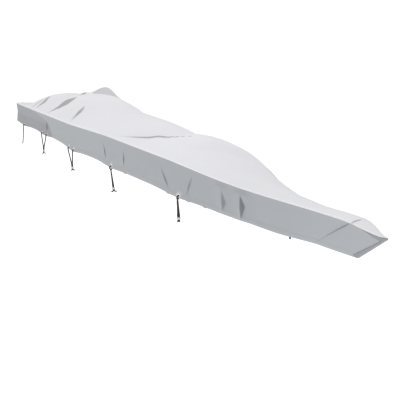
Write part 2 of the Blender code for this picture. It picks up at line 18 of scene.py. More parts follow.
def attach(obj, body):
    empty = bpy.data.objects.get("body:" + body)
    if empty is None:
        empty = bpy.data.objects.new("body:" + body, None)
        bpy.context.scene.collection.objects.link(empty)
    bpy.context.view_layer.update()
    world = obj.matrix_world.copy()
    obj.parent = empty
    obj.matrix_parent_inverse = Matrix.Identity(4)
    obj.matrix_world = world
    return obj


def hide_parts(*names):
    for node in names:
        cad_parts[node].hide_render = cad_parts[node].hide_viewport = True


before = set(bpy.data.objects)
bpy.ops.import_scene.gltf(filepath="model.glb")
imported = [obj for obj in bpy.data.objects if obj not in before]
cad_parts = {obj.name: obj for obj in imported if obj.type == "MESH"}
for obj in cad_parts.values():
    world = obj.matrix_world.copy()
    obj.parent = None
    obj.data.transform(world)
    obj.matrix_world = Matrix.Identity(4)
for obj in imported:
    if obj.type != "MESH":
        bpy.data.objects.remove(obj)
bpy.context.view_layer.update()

# %% [markdown]
# ## The lines of the boat
#
# A boat's shape is drawn as a few curves along its length: how wide it is, how high its rim runs, how high the
# cloth stands over that rim. Each curve can be a formula or a short table that is read smoothly between its rows.
# The solids were made from these same lines, so the cloth that is built on them lands where the solids are.
# Lengths run from the transom forward, y is to port, and z is up from the gunwale.

# %% The plan of the gunwale
LENGTH = 5.80
TRANSOM_HALF, WIDEST_HALF, WIDEST_SHARE, ENTRY_POWER = 1.02, 1.13, 0.56, 2.4
NOSE_RADIUS, NOSE_CUT, NOSE_TANGENT, NOSE_FLAT = 0.050, 0.0192, 45, 0.015
NOSE_END = LENGTH - NOSE_RADIUS + sqrt(NOSE_RADIUS ** 2 - NOSE_FLAT ** 2)
SLOPE_STEP = 0.001


def half_beam(x):
    """Half the beam at each x: an easy curve to the widest point, a full entry, and a round nose."""
    x = np.asarray(x, float)
    share = x / (LENGTH + NOSE_CUT)
    aft = TRANSOM_HALF + (WIDEST_HALF - TRANSOM_HALF) * (1 - (1 - share / WIDEST_SHARE) ** 2)
    forward = np.maximum(share - WIDEST_SHARE, 0) / (1 - WIDEST_SHARE)
    entry = WIDEST_HALF * (1 - forward ** ENTRY_POWER)
    ahead = x - (LENGTH - NOSE_RADIUS)
    nose = np.maximum(np.sqrt(np.maximum(NOSE_RADIUS ** 2 - ahead ** 2, 0.0)), NOSE_FLAT)
    sides = np.where(share < WIDEST_SHARE, aft, entry)
    return np.where(ahead > NOSE_RADIUS * cos(radians(NOSE_TANGENT)), nose, sides)


def plan_normal(x):
    """The outward direction of the starboard gunwale in plan, for each x."""
    low, high = np.maximum(x - SLOPE_STEP, 0.0), np.minimum(x + SLOPE_STEP, NOSE_END)
    slope = (half_beam(high) - half_beam(low)) / (high - low)
    normal = np.stack([-slope, -np.ones_like(slope), np.zeros_like(slope)], axis=-1)
    return normal / np.linalg.norm(normal, axis=-1, keepdims=True)


print("half beam at the transom, amidships and the bow:", half_beam([0, 3.2, 5.7]).round(3))

# %% Tables that are read smoothly
RIM_TABLE = (  # x, height of the rim over the straight gunwale line
    (0.00, -0.010), (2.00, -0.008), (3.20, 0.022), (4.00, 0.018),
    (4.80, -0.010), (5.50, 0.010), (5.80, -0.030),
)
DEPTH_TABLE = (  # x, depth of the skirt between the ties
    (0.00, 0.262), (1.40, 0.252), (2.00, 0.258), (2.35, 0.281),
    (3.20, 0.283), (3.60, 0.287), (4.00, 0.282), (4.50, 0.267),
    (4.95, 0.268), (5.25, 0.281), (5.55, 0.266), (5.80, 0.234),
)
CROWN_TABLE = (  # x, height of the crown above the rim, power of the cross-section
    (0.00, 0.130, 3.0), (0.30, 0.090, 3.0), (0.55, 0.425, 3.0), (0.80, 0.478, 2.6), (1.20, 0.533, 2.2),
    (1.70, 0.448, 2.0), (2.30, 0.416, 2.0), (2.80, 0.368, 2.0), (3.20, 0.271, 2.0), (3.60, 0.348, 2.0),
    (3.80, 0.330, 2.0), (4.00, 0.207, 2.0), (4.40, 0.071, 2.0), (4.80, 0.063, 2.0), (5.20, 0.048, 2.0),
    (5.55, 0.054, 2.0), (5.80, 0.008, 2.0),
)


def cubic(u, start, end, start_slope, end_slope):
    """A curve from start to end, for u from 0 to 1, with a given slope at each end."""
    return ((1 + 2 * u) * (1 - u) ** 2 * start + u * u * (3 - 2 * u) * end
            + u * (1 - u) ** 2 * start_slope - u * u * (1 - u) * end_slope)


def smooth_table(table, column):
    """A function that reads one column of a table by a cubic whose slopes never overshoot."""
    xs, values = (np.array([row[i] for row in table]) for i in (0, column))
    steps = np.diff(values) / np.diff(xs)
    slopes = np.zeros(len(xs))
    for i in range(1, len(xs) - 1):
        if steps[i - 1] * steps[i] > 0:
            slopes[i] = 2 * steps[i - 1] * steps[i] / (steps[i - 1] + steps[i])

    def read(x):
        x = np.clip(x, xs[0], xs[-1])
        i = np.clip(np.searchsorted(xs, x, side="right") - 1, 0, len(xs) - 2)
        width = xs[i + 1] - xs[i]
        return cubic((x - xs[i]) / width, values[i], values[i + 1], width * slopes[i], width * slopes[i + 1])
    return read


rim_height, plain_depth = smooth_table(RIM_TABLE, 1), smooth_table(DEPTH_TABLE, 1)
crown_height, crown_power = smooth_table(CROWN_TABLE, 1), smooth_table(CROWN_TABLE, 2)
print("crown at 1.2 m:", round(float(crown_height(1.2)), 3))

# %% The ties, which also draw the hem down
TIES = (  # name, x of the eyelets, x and z of the ring, then forward, out and down for the tail of each strand
    ("tie_1", (0.403,), 0.48, -0.515, ((-0.008, 0.008, 0.020),)),
    ("tie_2", (1.203, 1.374), 1.375, -0.487, ((-0.010, 0.011, 0.019), (0.052, 0.0, 0.024))),
    ("tie_3", (2.177, 2.310), 2.330, -0.496, ((-0.008, 0.011, 0.012), (0.044, 0.0, 0.017))),
    ("tie_4", (3.22,), 3.330, -0.477, ((-0.016, 0.018, 0.015), (0.037, 0.0, 0.020))),
    ("tie_5", (4.276,), 4.320, -0.462, ((0.0, 0.010, 0.012), (0.003, 0.010, 0.012))),
)
EYELET_XS = [x for tie in TIES for x in tie[1]]
TIE_PULL, TIE_PULL_REACH = 0.022, 0.22
SIDES = ("starboard", "port")


def smooth(u):
    """A step from 0 to 1 with soft ends."""
    u = np.clip(u, 0.0, 1.0)
    return u * u * (3 - 2 * u)


def skirt_depth(x):
    middles = [sum(tie[1]) / len(tie[1]) for tie in TIES]
    pull = np.max([np.exp(-((x - middle) / TIE_PULL_REACH) ** 2) for middle in middles], axis=0)
    return plain_depth(x) + TIE_PULL * pull


print("skirt depth at the first tie and between ties:", skirt_depth(np.array([0.42, 0.85])).round(3))

# %% [markdown]
# ## The broad folds of the cloth
#
# The broad folds are in the solids already: soft ridges where the cloth is held up or drawn tight, the hump that
# the gear pushes up, and the stern end of the skirt, which is pulled in. They could be sculpted, but a ridge that
# is the height of a bell curve round a line is one short formula, and it can be moved by changing a number.

# %% Height of the top, with its broad folds
CLOTH, HEM_THICK, GAP, TURN_DOWN = 0.002, 0.003, 0.0003, 0.012
MOUNT_X = 1.20
FOLDS_FADE, CREASES_FADE = 10, 12  # powers of the share across the top: the higher, the nearer to the rim
HUMP = (0.711, 0.015, 0.289, 0.182, 0.205)  # x, y, half length, half width, height
TOP_FOLDS = (  # x and y of each end, half width, height
    (0.72, -1.04, 0.72, -0.72, 0.07, 0.018),
    (1.36, -1.06, 1.32, -0.86, 0.07, 0.020),
    (1.32, -0.86, 0.98, -0.40, 0.08, 0.024),
    (2.10, -1.06, 1.54, -0.68, 0.09, 0.016),
    (3.22, -1.06, 3.62, -0.86, 0.10, 0.016),
    (3.62, -0.86, 3.74, -0.36, 0.10, 0.020),
)


def fold_height(u, v, start, end, half_width, height):
    """A soft ridge along the line from start to end that fades out at both ends."""
    along_u, along_v = end[0] - start[0], end[1] - start[1]
    share = ((u - start[0]) * along_u + (v - start[1]) * along_v) / (along_u ** 2 + along_v ** 2)
    share = np.clip(share, 0, 1)
    away = np.hypot(u - start[0] - along_u * share, v - start[1] - along_v * share)
    return height * np.exp(-(away / half_width) ** 2)


def hump_rise(x, y):
    hump_x, hump_y, length, width, height = HUMP
    return height * np.exp(-((x - hump_x) / length) ** 2 - ((y - hump_y) / width) ** 2)


def top_height(x, across):
    """Height of the top at x, and at a share from -1 (starboard rim) to 1 (port rim)."""
    y = across * half_beam(x)
    raised = hump_rise(x, y)
    for x0, y0, x1, y1, half_width, height in TOP_FOLDS:
        raised = raised + fold_height(x, y, (x0, y0), (x1, y1), half_width, height)
    crown = crown_height(x) * (1 - np.abs(across) ** crown_power(x))
    return rim_height(x) + TURN_DOWN + crown + raised * (1 - np.abs(across) ** FOLDS_FADE)


MOUNT = np.array((MOUNT_X, 0.0, float(top_height(MOUNT_X, 0.0)) - CLOTH))
print("the origin, seen from the transom:", MOUNT.round(4))

# %% The skirt, with its broad folds
SKIRT_FLARE, STEM_RAKE, RAKE_STARTS = 0.20, 0.178, 0.60
HEM_SHARE = 0.84
SKIRT_FOLDS = (  # x and share of the depth at each end, half width, how far it stands out
    (4.66, 0.20, 4.74, 0.90, 0.045, 0.014),
    (4.83, 0.18, 4.93, 0.93, 0.050, 0.018),
)
STERN_TUCK_LINE = ((0.30, -0.10), (0.72, 0.0), (1.30, 0.18), (1.48, 0.30), (1.64, 0.85), (1.66, 1.0))
STERN_TUCK, STERN_TUCK_EDGE = 0.022, 0.09
FOLDS_START, TUCK_START = 0.2, 0.5  # the shares of the depth over which each grows from nothing at the rim


def stern_zone(x, down):
    """1 in the stern end of the skirt that is drawn in, 0 forward of its slanting edge."""
    edges, downs = np.transpose(STERN_TUCK_LINE)
    return smooth((np.interp(down, downs, edges) - x) / STERN_TUCK_EDGE)


def broad_folds(x, down):
    """How far the starboard skirt stands out of its plain surface."""
    depth, out = skirt_depth(x), 0.0
    for x0, down0, x1, down1, half_width, height in SKIRT_FOLDS:
        out = out + fold_height(x, down * depth, (x0, down0 * depth), (x1, down1 * depth), half_width, height)
    return out * smooth(down / FOLDS_START) - STERN_TUCK * stern_zone(x, down) * smooth(down / TUCK_START)


def skirt_plain(x, down):
    """A point of the plain starboard skirt, down from 0 at the rim to 1 at the hem."""
    depth = skirt_depth(x) * down
    bow = smooth((x / LENGTH - RAKE_STARTS) / (1 - RAKE_STARTS)) ** 2
    return np.stack(np.broadcast_arrays(x - STEM_RAKE * bow * down, -half_beam(x) * (1 - SKIRT_FLARE * depth),
                                        rim_height(x) - depth), axis=-1)


def skirt_point(x, down, stands_out=0.0):
    x, down = np.broadcast_arrays(np.asarray(x, float), np.asarray(down, float))
    out = np.broadcast_to(stands_out, x.shape)
    return skirt_plain(x, down) + plan_normal(x) * out[..., None]


print("the hem at the stem:", skirt_point(NOSE_END, 1.0).round(3))

# %% [markdown]
# ## Where the eyelets, cords and rings sit
#
# An eyelet needs a place and three directions: along the hem, up, and out. They come from four points of the hem
# around it. A cord's route is a list of points: through its eyelet, down to the ring that gathers the tie, and on
# to its free tail. The solids were made by the same rules, so the cords run through the same holes.

# %% The frames of the eyelets and rings
EYELET_PATCH, EYELET_HOLE, EYELET_BARREL, EYELET_RIM, EYELET_METAL = 0.045, 0.0095, 0.0110, 0.0200, 0.0018
CORD_RADIUS, CORD_STANDS_OFF, CORD_SITS, STRAND_OFFSET = 0.007, 0.012, 0.00195, 0.0077
RING_BORE, RING_WALL, RING_HALF_HEIGHT = 0.0080, 0.004, 0.011


def unit(v):
    return v / np.linalg.norm(v)


def eyelet_place(x, side):
    """The middle of an eyelet in the hem, and its directions along the hem, up and out."""
    ahead, down = np.array((-1, 1, 1, -1)) * EYELET_PATCH, np.array((HEM_SHARE, HEM_SHARE, 1.0, 1.0))
    corners = skirt_point(x + ahead, down, broad_folds(x + ahead, down) if side == "starboard" else 0.0)
    out = unit(np.cross(corners[2] - corners[0], corners[1] - corners[3]))
    out = out * -np.sign(out[1])
    centre = corners.mean(axis=0) - (0.0, 0.0, GAP) - out * HEM_THICK / 2
    if side == "port":
        centre, out = centre * (1, -1, 1), out * (1, -1, 1)
    up = unit(np.array((0.0, 0.0, 1.0)) - out * out[2])
    return centre, np.cross(up, out), up, out


def ring_place(tie, side):
    """The middle of a tie's ring, and its directions forward, out and down along the cords."""
    _, eyelets, ring_x, ring_z, _ = tie
    depth = float(rim_height(ring_x)) - ring_z
    centre = np.array((ring_x, -float(half_beam(ring_x)) * (1 - SKIRT_FLARE * depth) - CORD_STANDS_OFF, ring_z))
    start = np.mean([eyelet_place(x, "starboard")[0] for x in eyelets], axis=0) - (0.0, CORD_STANDS_OFF, 0.0)
    down = unit(centre - start)
    forward = unit(np.cross(plan_normal(ring_x), down))
    forward = forward * np.sign(forward[0])
    out = np.cross(down, forward)
    if side == "port":
        centre, forward, out, down = (v * (1, -1, 1) for v in (centre, forward, out, down))
    return centre, forward, out, down


for tie in TIES:
    print(tie[0], "eyelets at", [eyelet_place(x, "starboard")[0].round(3).tolist() for x in tie[1]])

# %% The routes of the cords
LOOP_STARTS, SINGLE_STARTS = 0.0006, -0.020  # where a strand begins, out from its eyelet's middle
LEAVES_EYELET = ((0.006, 0.0), (0.0165, -0.008), (0.0155, -0.026))  # out, and up from the eyelet's middle
LOOP_MEETS_AT, LOOP_OFFSET = -0.045, 0.0058  # where a loop's halves come together, and how far off the middle
STRAIGHT_AT_RING = (-0.040, -0.016, 0.010, 0.016)
TAIL_BEND = (0.30, 0.45, 0.006)  # a tail's middle point: its share sideways and down, and a little more down
ROUTE_STEP, FINE_STEP = 0.040, 0.012


def smooth_route(points, step):
    """A smooth curve through the route's own points, with short spaces between its points."""
    points = np.array(points)
    spans = np.linalg.norm(np.diff(points, axis=0), axis=1)
    slopes = []
    for i in range(len(points)):
        before, after = max(i - 1, 0), min(i + 1, len(points) - 1)
        slopes.append((points[after] - points[before]) / spans[before:after].sum())
    route = [points[0]]
    for i, span in enumerate(spans):
        steps = max(1, round(span / step + 0.3))
        for u in np.arange(1, steps + 1) / steps:
            route.append(cubic(u, points[i], points[i + 1], span * slopes[i], span * slopes[i + 1]))
    return np.array(route)


def strand_route(tie, index, side, step):
    """The middle of one strand, through its eyelet, down through the ring and out to its free tail."""
    _, eyelets, _, _, tails = tie
    looped = len(tails) > len(eyelets)
    centre, _, up, out = eyelet_place(eyelets[0 if looped else index], side)
    middle, forward, away, down = ring_place(tie, side)
    centre = centre - up * CORD_SITS
    turn = -1 if looped and index == 0 else 1
    route = [centre + out * turn * (LOOP_STARTS if looped else SINGLE_STARTS)]
    route += [centre + out * turn * clear + up * rise for clear, rise in LEAVES_EYELET]
    if looped:
        route.append(centre + up * LOOP_MEETS_AT + (forward + out) * turn * LOOP_OFFSET)
    beside = 0.0 if len(tails) == 1 else (2 * index - 1) * STRAND_OFFSET
    straight = [middle + forward * beside + down * along for along in STRAIGHT_AT_RING]
    route += [(route[-1] + straight[0]) / 2, *straight]
    tail_forward, tail_out, tail_down = tails[index]
    sideways = forward * tail_forward + away * tail_out
    bend_side, bend_down, drop = TAIL_BEND
    route.append(straight[-1] + sideways * bend_side + down * (tail_down * bend_down + drop))
    route.append(straight[-1] + sideways + down * tail_down)
    return smooth_route(route, step)


def route_length(route):
    return float(np.linalg.norm(np.diff(route, axis=0), axis=1).sum())


for tie in TIES:
    routes = [strand_route(tie, index, "starboard", ROUTE_STEP) for index in range(len(tie[4]))]
    print(tie[0], "cord lengths", [round(route_length(route), 3) for route in routes])

# %% [markdown]
# ## Creases
#
# Between the broad folds the cloth is creased: each crease is a ridge with a trough beside it, and the steep face
# between the two is what shows as a dark stroke. Here that is the slope of a bell curve across a path, swelling
# from nothing at one end to its full width and back to nothing. The same formula gives a mask, which the cloth's
# material uses later to paint shade into each crease: there its base colour is darker.

# %% One crease along a path
def along_path(u, v, path):
    """How far along the path (0 to 1) each point's nearest place is, and the signed distance from it."""
    path = np.array(path, float)
    lengths = np.hypot(*np.diff(path, axis=0).T)
    begins = np.concatenate([[0.0], np.cumsum(lengths)])
    best = np.full(np.shape(u), np.inf)
    share, side = np.zeros(np.shape(u)), np.zeros(np.shape(u))
    for start, end, length, begin in zip(path, path[1:], lengths, begins):
        direction = (end - start) / length
        t = np.clip((u - start[0]) * direction[0] + (v - start[1]) * direction[1], 0, length)
        away_u, away_v = u - start[0] - direction[0] * t, v - start[1] - direction[1] * t
        away = np.hypot(away_u, away_v)
        nearer = away < best
        best = np.where(nearer, away, best)
        share = np.where(nearer, (begin + t) / begins[-1], share)
        side = np.where(nearer, np.sign(direction[0] * away_v - direction[1] * away_u), side)
    return share, best * side


LEAST_WIDTH, STEEPEST = 0.010, 2.33  # the least half width, and what makes the steepest bell one high
MASK_EDGE = 0.010


def crease(u, v, path, half_width, height, peak=0.5):
    """The rise of a crease and the mask of its painted shade. Its ridge is left of the path, widest at the peak."""
    share, away = along_path(u, v, path)
    swell = np.sin(pi * np.clip(share, 1e-6, 1) ** (np.log(0.5) / np.log(peak)))
    q = away / (max(half_width, LEAST_WIDTH) * (0.5 + 0.6 * swell))
    tent = np.minimum(share / peak, (1 - share) / (1 - peak))
    # the mask of the shade painted into the crease's colour, widest at its peak
    mask = smooth((half_width * tent - np.abs(away)) / MASK_EDGE + 0.5)
    return height * swell * STEEPEST * q * np.exp(-q * q), mask


rise, mask = crease(np.array([0.0, 0.01]), np.array([0.5, 0.5]), ((0, 0), (0, 1)), 0.02, 0.01)
print("a crease's rise and mask in the middle and 10 mm beside it:", rise.round(4), mask.round(3))

# %% Where the top is creased, in metres of plan
BOW_CREASE = (((5.580, -0.330), (5.578, -0.214), (5.580, -0.116), (5.560, 0.060)), 0.006, 0.003, 0.9, 0.35)
TOP_CREASES = (  # path of (x, y) from the rim inboard, half width, height, darkness of its painted shade, peak
    (((0.700, -1.075), (0.700, -0.960), (0.650, -0.840)), 0.045, 0.008, 0.40, 0.35),
    (((0.867, -1.085), (0.826, -0.999), (0.788, -0.928), (0.700, -0.850), (0.585, -0.770)), 0.020, 0.011, 1.0, 0.40),
    (((1.304, -1.082), (1.350, -1.012), (1.360, -0.930), (1.336, -0.850), (1.290, -0.765), (1.230, -0.672)),
     0.040, 0.014, 1.0, 0.52),
    (((1.205, -0.640), (1.131, -0.541), (1.015, -0.440)), 0.018, 0.008, 0.9, 0.50),
    (((2.080, -1.095), (1.992, -1.013), (1.870, -0.905), (1.748, -0.810), (1.610, -0.715)), 0.021, 0.010, 1.0, 0.50),
    (((3.190, -1.080), (3.299, -1.034), (3.390, -0.997), (3.557, -0.935), (3.677, -0.844), (3.700, -0.740),
      (3.733, -0.603), (3.747, -0.456)), 0.013, 0.006, 0.85, 0.40),
    BOW_CREASE,
)
PORT_TOP_CREASES = (
    (((0.80, -1.06), (0.78, -0.93), (0.70, -0.80)), 0.030, 0.012, 0.8, 0.45),
    (((1.52, -1.07), (1.42, -0.90), (1.26, -0.72), (1.17, -0.60)), 0.045, 0.013, 0.9, 0.50),
    (((1.92, -1.08), (1.76, -0.90), (1.60, -0.66)), 0.026, 0.010, 0.9, 0.45),
    (((3.12, -1.09), (3.40, -0.97), (3.60, -0.82), (3.70, -0.60), (3.72, -0.40)), 0.013, 0.007, 0.7, 0.30),
    (((4.02, -0.92), (3.88, -0.78), (3.80, -0.60)), 0.022, 0.009, 0.7, 0.5),
    BOW_CREASE,
)


def creased(u, v, creases, scale=1.0):
    """The rise and the painted shade of several creases together. The scale turns v, and each path's v, into metres.
    """
    total, painted_shade = np.zeros(np.shape(u)), np.zeros(np.shape(u))
    for path, half_width, height, shade_darkness, peak in creases:
        path = [(path_u, path_v * scale) for path_u, path_v in path]
        rise, mask = crease(u, v * scale, path, half_width, height, peak)
        total, painted_shade = total + rise, np.maximum(painted_shade, shade_darkness * mask)
    return total, painted_shade


def slack(points, *waves):
    """A soft unevenness that is the same in every run. Each wave has a height, a size and a seed."""
    total = 0.0
    for height, size, seed in waves:
        offset = Vector((seed * 7.3, seed * 3.1, seed * 1.7))
        values = [noise.noise(Vector(point) + offset) for point in np.reshape(points, (-1, 3)) / size]
        total = total + height * np.reshape(values, np.shape(points)[:-1])
    return total


print("creases on the top:", len(TOP_CREASES) + len(PORT_TOP_CREASES))

# %% [markdown]
# ## A sheet of cloth
#
# Cloth is thin, but it isn't a plane without a back: light meets its edge, and its underside shows from below.
# A grid of points gives the outer face, and the inner face is the same grid moved inwards along its normals. A
# Solidify modifier could do that too, but here the hem has to be thicker than the rest, so the thickness is one
# more grid. The sheet also gets a UV map in metres, so that the weave follows the cloth round every fold.

# %% A closed sheet from a grid of points
SHARP_ANGLE = radians(60)
OUTER_FACES = {}  # the points and normals of each sheet's outer face, for what is sewn on it later


def new_object(name, data):
    """Put a mesh, a curve, a light or a camera into the scene."""
    made = bpy.data.objects.new(name, data)
    bpy.context.scene.collection.objects.link(made)
    return made


def new_mesh(name, points, edges=(), faces=()):
    """A mesh from points, edges and faces, each an array or a list."""
    mesh = bpy.data.meshes.new(name)
    mesh.from_pydata(*(part.tolist() if isinstance(part, np.ndarray) else part for part in (points, edges, faces)))
    return mesh


def grid_normals(grid):
    normals = np.cross(np.gradient(grid, axis=0), np.gradient(grid, axis=1))
    return normals / np.maximum(np.linalg.norm(normals, axis=2, keepdims=True), 1e-12)


def arc_lengths(grid, axis):
    """How far each point of the grid lies along its own line, in metres."""
    steps = np.linalg.norm(np.diff(grid, axis=axis), axis=2)
    start = np.zeros_like(np.take(steps, [0], axis=axis))
    return np.cumsum(np.concatenate([start, steps], axis=axis), axis=axis)


def sheet_of_cloth(name, outer, thickness, outward, layers):
    """A closed sheet whose outer face is the grid. Outward is a direction that its outer side roughly faces."""
    rows, columns = outer.shape[:2]
    count = rows * columns
    normals = grid_normals(outer)
    way = np.sign((normals * outward).sum(axis=2).mean())
    OUTER_FACES[name] = (outer, normals * way)
    inner = outer - normals * way * np.broadcast_to(thickness, (rows, columns))[..., None]
    index = np.arange(count).reshape(rows, columns)
    quads = np.stack([index[:-1, :-1], index[1:, :-1], index[1:, 1:], index[:-1, 1:]], axis=-1).reshape(-1, 4)
    edge = np.concatenate([index[:, 0], index[-1, 1:], index[-2::-1, -1], index[0, -2:0:-1]])
    following = np.roll(edge, -1)
    rim = np.stack([edge, edge + count, following + count, following], axis=-1)
    faces = np.concatenate([quads, quads[:, ::-1] + count, rim])
    if way < 0:
        faces = faces[:, ::-1]
    mesh = new_mesh(name, np.concatenate([outer.reshape(-1, 3), inner.reshape(-1, 3)]) - MOUNT, faces=faces)
    across = arc_lengths(outer, 1)
    across = across - across[:, -1:] / 2
    along = arc_lengths(outer, 0)[:, columns // 2][:, None]
    uv = np.stack(np.broadcast_arrays(across, along), axis=-1).reshape(-1, 2)
    corners = np.zeros(len(mesh.loops), int)
    mesh.loops.foreach_get("vertex_index", corners)
    mesh.uv_layers.new(name="cloth").data.foreach_set("uv", uv[corners % count].ravel())
    attributes = {layer: np.tile(values.ravel(), 2) for layer, values in layers.items()}
    for layer, values in {**attributes, "back": np.repeat((0.0, 1.0), count)}.items():
        mesh.attributes.new(layer, "FLOAT", "POINT").data.foreach_set("value", values)
    mesh.shade_smooth()
    mesh.set_sharp_from_angle(angle=SHARP_ANGLE)
    area = sum(face.area for face in mesh.polygons) / 2
    print(f"{name}: {len(faces)} faces, {area:.3f} m2 of cloth")
    return new_object(name, mesh)


def spaced(zones):
    """Places along the hull, evenly spaced in each zone of (start, end, space)."""
    lines = [np.linspace(start, end, round((end - start) / space), endpoint=False) for start, end, space in zones]
    return np.concatenate(lines + [[zones[-1][1]]])


# %% [markdown]
# ## The top cloth
#
# The top is one piece of light grey cloth. It rests on a pole and on the gear under it, so it rises to a crest,
# falls, rises again over the windscreen and runs down to the bow. At the rim it turns down over a small radius,
# and the skirt is sewn to that turned edge. The grid is finest where the creases are.

# %% Build the top cloth
ROUND = 0.003
TOP_ZONES = ((ROUND, 0.45, 0.025), (0.45, 2.2, 0.0145), (2.2, 3.1, 0.024), (3.1, 4.0, 0.0155),
             (4.0, 5.45, 0.025), (5.45, 5.70, 0.012), (5.70, NOSE_END - ROUND, 0.008))
TOP_COLUMNS = 124
TURN = np.radians((0, 30, 60, 90))
RING_REACH = np.append(ROUND * np.sin(TURN), ROUND)
RING_DROP = np.append(ROUND * (1 - np.cos(TURN)), TURN_DOWN)
TOP_SLACK = ((0.0035, 0.42, 1), (0.0012, 0.13, 2))  # height, size and seed of each wave
TAUT_BOW = 0.3  # the unevenness fades out over this length before the nose
CREST_X, CREST_LENGTH, CREST_WIDTH = 1.2, 0.25, 0.5  # where the pole under the cloth rubs it
HUMP_SHADE_REACH, HUMP_SHADE_EDGE = 1.45, 0.08  # the hump's painted shade, a darker patch, in half widths of the hump


def top_cloth():
    xs = spaced(TOP_ZONES)
    across = np.array([0.5 * (u + sin(pi * u / 2)) for u in np.linspace(-1, 1, TOP_COLUMNS + 1)])
    x, share = np.meshgrid(xs, across, indexing="ij")
    y = share * (half_beam(x) - ROUND)
    plain = np.stack([x, y, top_height(x, share)], axis=-1)
    starboard_rise, starboard_painted_shade = creased(x, y, TOP_CREASES)
    port_rise, port_painted_shade = creased(x, -y, PORT_TOP_CREASES)
    uneven = slack(plain, *TOP_SLACK) * smooth((NOSE_END - x) / TAUT_BOW)
    plain[..., 2] += (starboard_rise + port_rise + uneven) * (1 - np.abs(share) ** CREASES_FADE)
    hump_x, hump_y, length, width, _ = HUMP
    reach = np.hypot((x - hump_x) / length, (y - hump_y) / width)
    crest = np.exp(-((x - CREST_X) / CREST_LENGTH) ** 2 - (y / CREST_WIDTH) ** 2)
    # The crease and patch layers are painted shade, in the creases and on the hump; wear marks the rubbed crest and
    # rim.
    layers = {"crease": np.maximum(starboard_painted_shade, port_painted_shade), "painted_shade_patch": 1 - smooth((reach - HUMP_SHADE_REACH) / HUMP_SHADE_EDGE),
              "wear": np.maximum(0.6 * crest, smooth((np.abs(share) - 0.97) / 0.03))}

    rings = len(RING_DROP) - 1  # the grid goes on past its edge as rings that turn down
    rows, columns = x.shape
    i, j = np.meshgrid(np.arange(-rings, rows + rings), np.arange(-rings, columns + rings), indexing="ij")
    core_i, core_j = np.clip(i, 0, rows - 1), np.clip(j, 0, columns - 1)
    ring = np.maximum(np.abs(i - core_i), np.abs(j - core_j))
    sideways = plan_normal(xs)[core_i]
    sideways[..., 1] *= np.where(j > core_j, -1, 1)
    out = (i - core_i)[..., None] * (1.0, 0.0, 0.0) + sideways * np.abs(j - core_j)[..., None]
    out /= np.maximum(np.linalg.norm(out, axis=-1, keepdims=True), 1e-9)
    grid = plain[core_i, core_j] + out * RING_REACH[ring][..., None]
    grid[..., 2] -= RING_DROP[ring]
    layers = {name: values[core_i, core_j] for name, values in layers.items()}
    return sheet_of_cloth("top_cloth", grid, CLOTH, (0.0, 0.0, 1.0), layers)


top = top_cloth()

# %% [markdown]
# ## The skirt
#
# The skirt is a strip of darker cloth, cut in three: one strip along each side and one across the stern. Its lower
# edge is turned up and sewn into a hem, so the cloth is thicker there and stands a millimetre proud. It leans in
# with the hull, puckers above each eyelet, and waves a little between the ties where nothing holds it.

# %% Where the skirt is creased
SKIRT_SCALE = 0.27  # creases are placed by x and by a share of the depth, taken as this many metres
STEM_CREASE = (((5.578, -0.250), (5.570, 0.000), (5.542, 0.437), (5.512, 0.985)), 0.008, 0.003, 0.9, 0.35)
SIDE_CREASES = (  # path of (x, share of the depth), half width, height, darkness of its painted shade, peak
    (((2.990, 0.220), (3.052, 0.523), (3.101, 0.820)), 0.010, 0.005, 0.70, 0.60),
    (((3.411, 0.186), (3.444, 0.492), (3.466, 0.829)), 0.010, 0.005, 0.75, 0.60),
    (((3.985, 0.180), (4.074, 0.548), (4.155, 0.880)), 0.010, 0.006, 0.60, 0.66),
    (((4.382, 0.100), (4.368, 0.497), (4.360, 0.900)), 0.010, 0.006, 0.60, 0.55),
    (((4.666, 0.201), (4.731, 0.648), (4.742, 0.905)), 0.019, 0.009, 0.55, 0.66),
    (((4.829, 0.190), (4.886, 0.545), (4.925, 0.965)), 0.020, 0.012, 1.0, 0.50),
    STEM_CREASE,
    (((1.300, 0.170), (1.345, 0.500), (1.352, 0.760)), 0.032, 0.008, 0.60, 0.72),
)
PORT_CREASES = (
    (((0.90, 0.20), (0.95, 0.55), (0.96, 0.85)), 0.010, 0.005, 0.5, 0.6),
    (((1.72, 0.24), (1.76, 0.50), (1.77, 0.86)), 0.009, 0.005, 0.5, 0.5),
    (((2.76, 0.20), (2.72, 0.52), (2.70, 0.84)), 0.009, 0.006, 0.6, 0.55),
    (((3.62, 0.18), (3.66, 0.50), (3.67, 0.86)), 0.009, 0.006, 0.6, 0.6),
    (((4.50, 0.20), (4.57, 0.60), (4.58, 0.92)), 0.017, 0.009, 0.6, 0.65),
    (((4.74, 0.16), (4.82, 0.52), (4.83, 0.92)), 0.020, 0.011, 0.9, 0.55),
    STEM_CREASE,
)
PUCKERS = ((-0.055, 0.40, 0.7), (-0.012, 0.52, 1.0), (0.040, 0.36, 0.8))  # forward at the top, its depth, strength
PUCKER_LOW, PUCKER_GATHER = 0.80, 0.25  # where puckers end, just above the hem, and how far they come together
# a pucker's width, its height, how dark the shade painted into it is, and its peak
PUCKER_WIDTH, PUCKER_HEIGHT, PUCKER_SHADE, PUCKER_PEAK = 0.007, 0.0032, 0.22, 0.45


def pucker_creases():
    """Short creases that fan out above each eyelet, where the cord pulls on the cloth."""
    return tuple((((x + PUCKER_GATHER * ahead, PUCKER_LOW), (x + ahead, top)), PUCKER_WIDTH,
                  PUCKER_HEIGHT * strength, PUCKER_SHADE * strength, PUCKER_PEAK)
                 for x in EYELET_XS for ahead, top, strength in PUCKERS)


print("creases of one side, with the puckers:", len(SIDE_CREASES + pucker_creases()))

